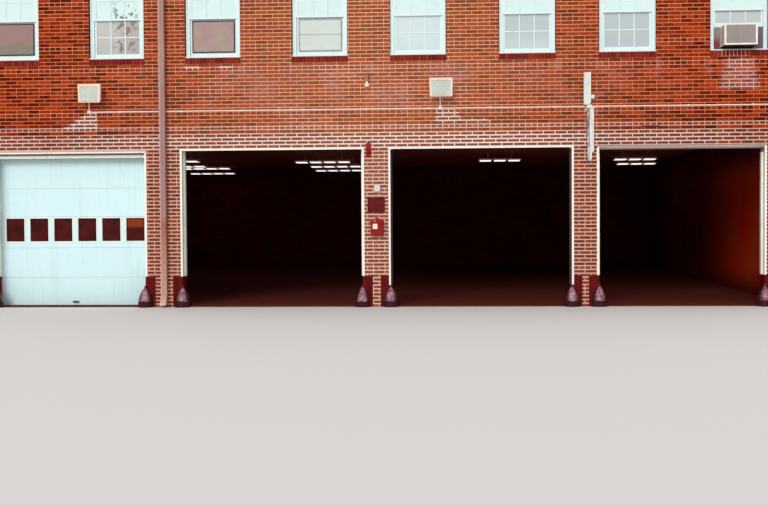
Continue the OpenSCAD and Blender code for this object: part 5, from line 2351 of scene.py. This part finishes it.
@dataclass
class Studio:
    """Pale floor, even sky, one soft key light, and the camera where the photograph was taken."""

    eye: Point = (1.621, -31.29, 1.662)
    left_turn: float = 3.525
    down: float = 1.702
    roll: float = -0.365
    lens: float = 56.22
    sky_colour: Colour = (1.0, 0.985, 0.97, 1)
    sky_strength: float = 0.68
    sun_turn: tuple[float, float] = (66, -14)
    sun_strength: float = 1.42
    sun_spread: float = 24

    def camera(self) -> None:
        """Sets up the camera."""
        data = bpy.data.cameras.new("view")
        data.lens, data.sensor_width, data.sensor_fit, data.clip_end = self.lens, 36, "HORIZONTAL", 500
        camera = bpy.data.objects.new("view", data)
        turn = Matrix.Rotation(math.radians(self.left_turn), 4, "Z")
        tilt = Matrix.Rotation(math.radians(90 - self.down), 4, "X")
        lean = Matrix.Rotation(math.radians(self.roll), 4, "Z")
        camera.matrix_world = Matrix.Translation(self.eye) @ turn @ tilt @ lean
        bpy.context.collection.objects.link(camera)
        bpy.context.scene.camera = camera

    def floor(self) -> None:
        """Lays the floor."""
        bpy.ops.object.select_all(action="DESELECT")
        bpy.ops.mesh.primitive_plane_add(size=400, location=(0, 0, -0.002))
        floor = bpy.context.object
        floor.name = "studio_floor"
        r = Recipe("studio_floor")
        base = r.mix(r.noise(0.2, 2) * 0.3, paint(232, 230, 228), paint(226, 224, 222))
        floor.data.materials.append(r.finish(base, 0.9))

    def light(self) -> None:
        """Lights the object from an even sky and a soft key light."""
        world = bpy.data.worlds.new("studio")
        world.use_nodes = True
        nodes, links = world.node_tree.nodes, world.node_tree.links
        nodes.clear()
        paths = nodes.new("ShaderNodeLightPath")
        total = paths.outputs["Is Camera Ray"]
        for name in ("Is Glossy Ray", "Is Transmission Ray"):
            both = nodes.new("ShaderNodeMath")
            both.operation = "MAXIMUM"
            links.new(total, both.inputs[0])
            links.new(paths.outputs[name], both.inputs[1])
            total = both.outputs[0]
        sky, seen = (nodes.new("ShaderNodeBackground") for _ in range(2))
        mixed = nodes.new("ShaderNodeMixShader")
        sky.inputs[0].default_value, sky.inputs[1].default_value = self.sky_colour, self.sky_strength
        seen.inputs[0].default_value, seen.inputs[1].default_value = (0.97, 0.97, 0.97, 1), 1.0
        for source, target in ((total, mixed.inputs[0]), (sky.outputs[0], mixed.inputs[1]),
                               (seen.outputs[0], mixed.inputs[2])):
            links.new(source, target)
        links.new(mixed.outputs[0], nodes.new("ShaderNodeOutputWorld").inputs[0])
        bpy.context.scene.world = world
        tilt, turn = (math.radians(a) for a in self.sun_turn)
        bpy.ops.object.light_add(type="SUN", rotation=(tilt, 0, turn))
        sun = bpy.context.object
        sun.name = "key"
        sun.data.energy, sun.data.angle = self.sun_strength, math.radians(self.sun_spread)

    def build(self) -> None:
        """Sets up the studio."""
        bpy.context.scene.view_settings.view_transform = "Standard"
        self.camera()
        self.floor()
        self.light()


def main() -> None:
    """Builds the dressed fire station round its CAD frame."""
    logging.basicConfig(level=logging.INFO, format="%(message)s")
    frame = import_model()
    Studio().build()
    box = Paintbox(frame["nodes"])
    box.paint_nodes()
    for assembly in (Masonry, Windows, AirConditioner, Bays, Fittings, Roof):
        LOG.info("Building %s", assembly.__name__)
        assembly(box).build()


if __name__ == "__main__":
    main()
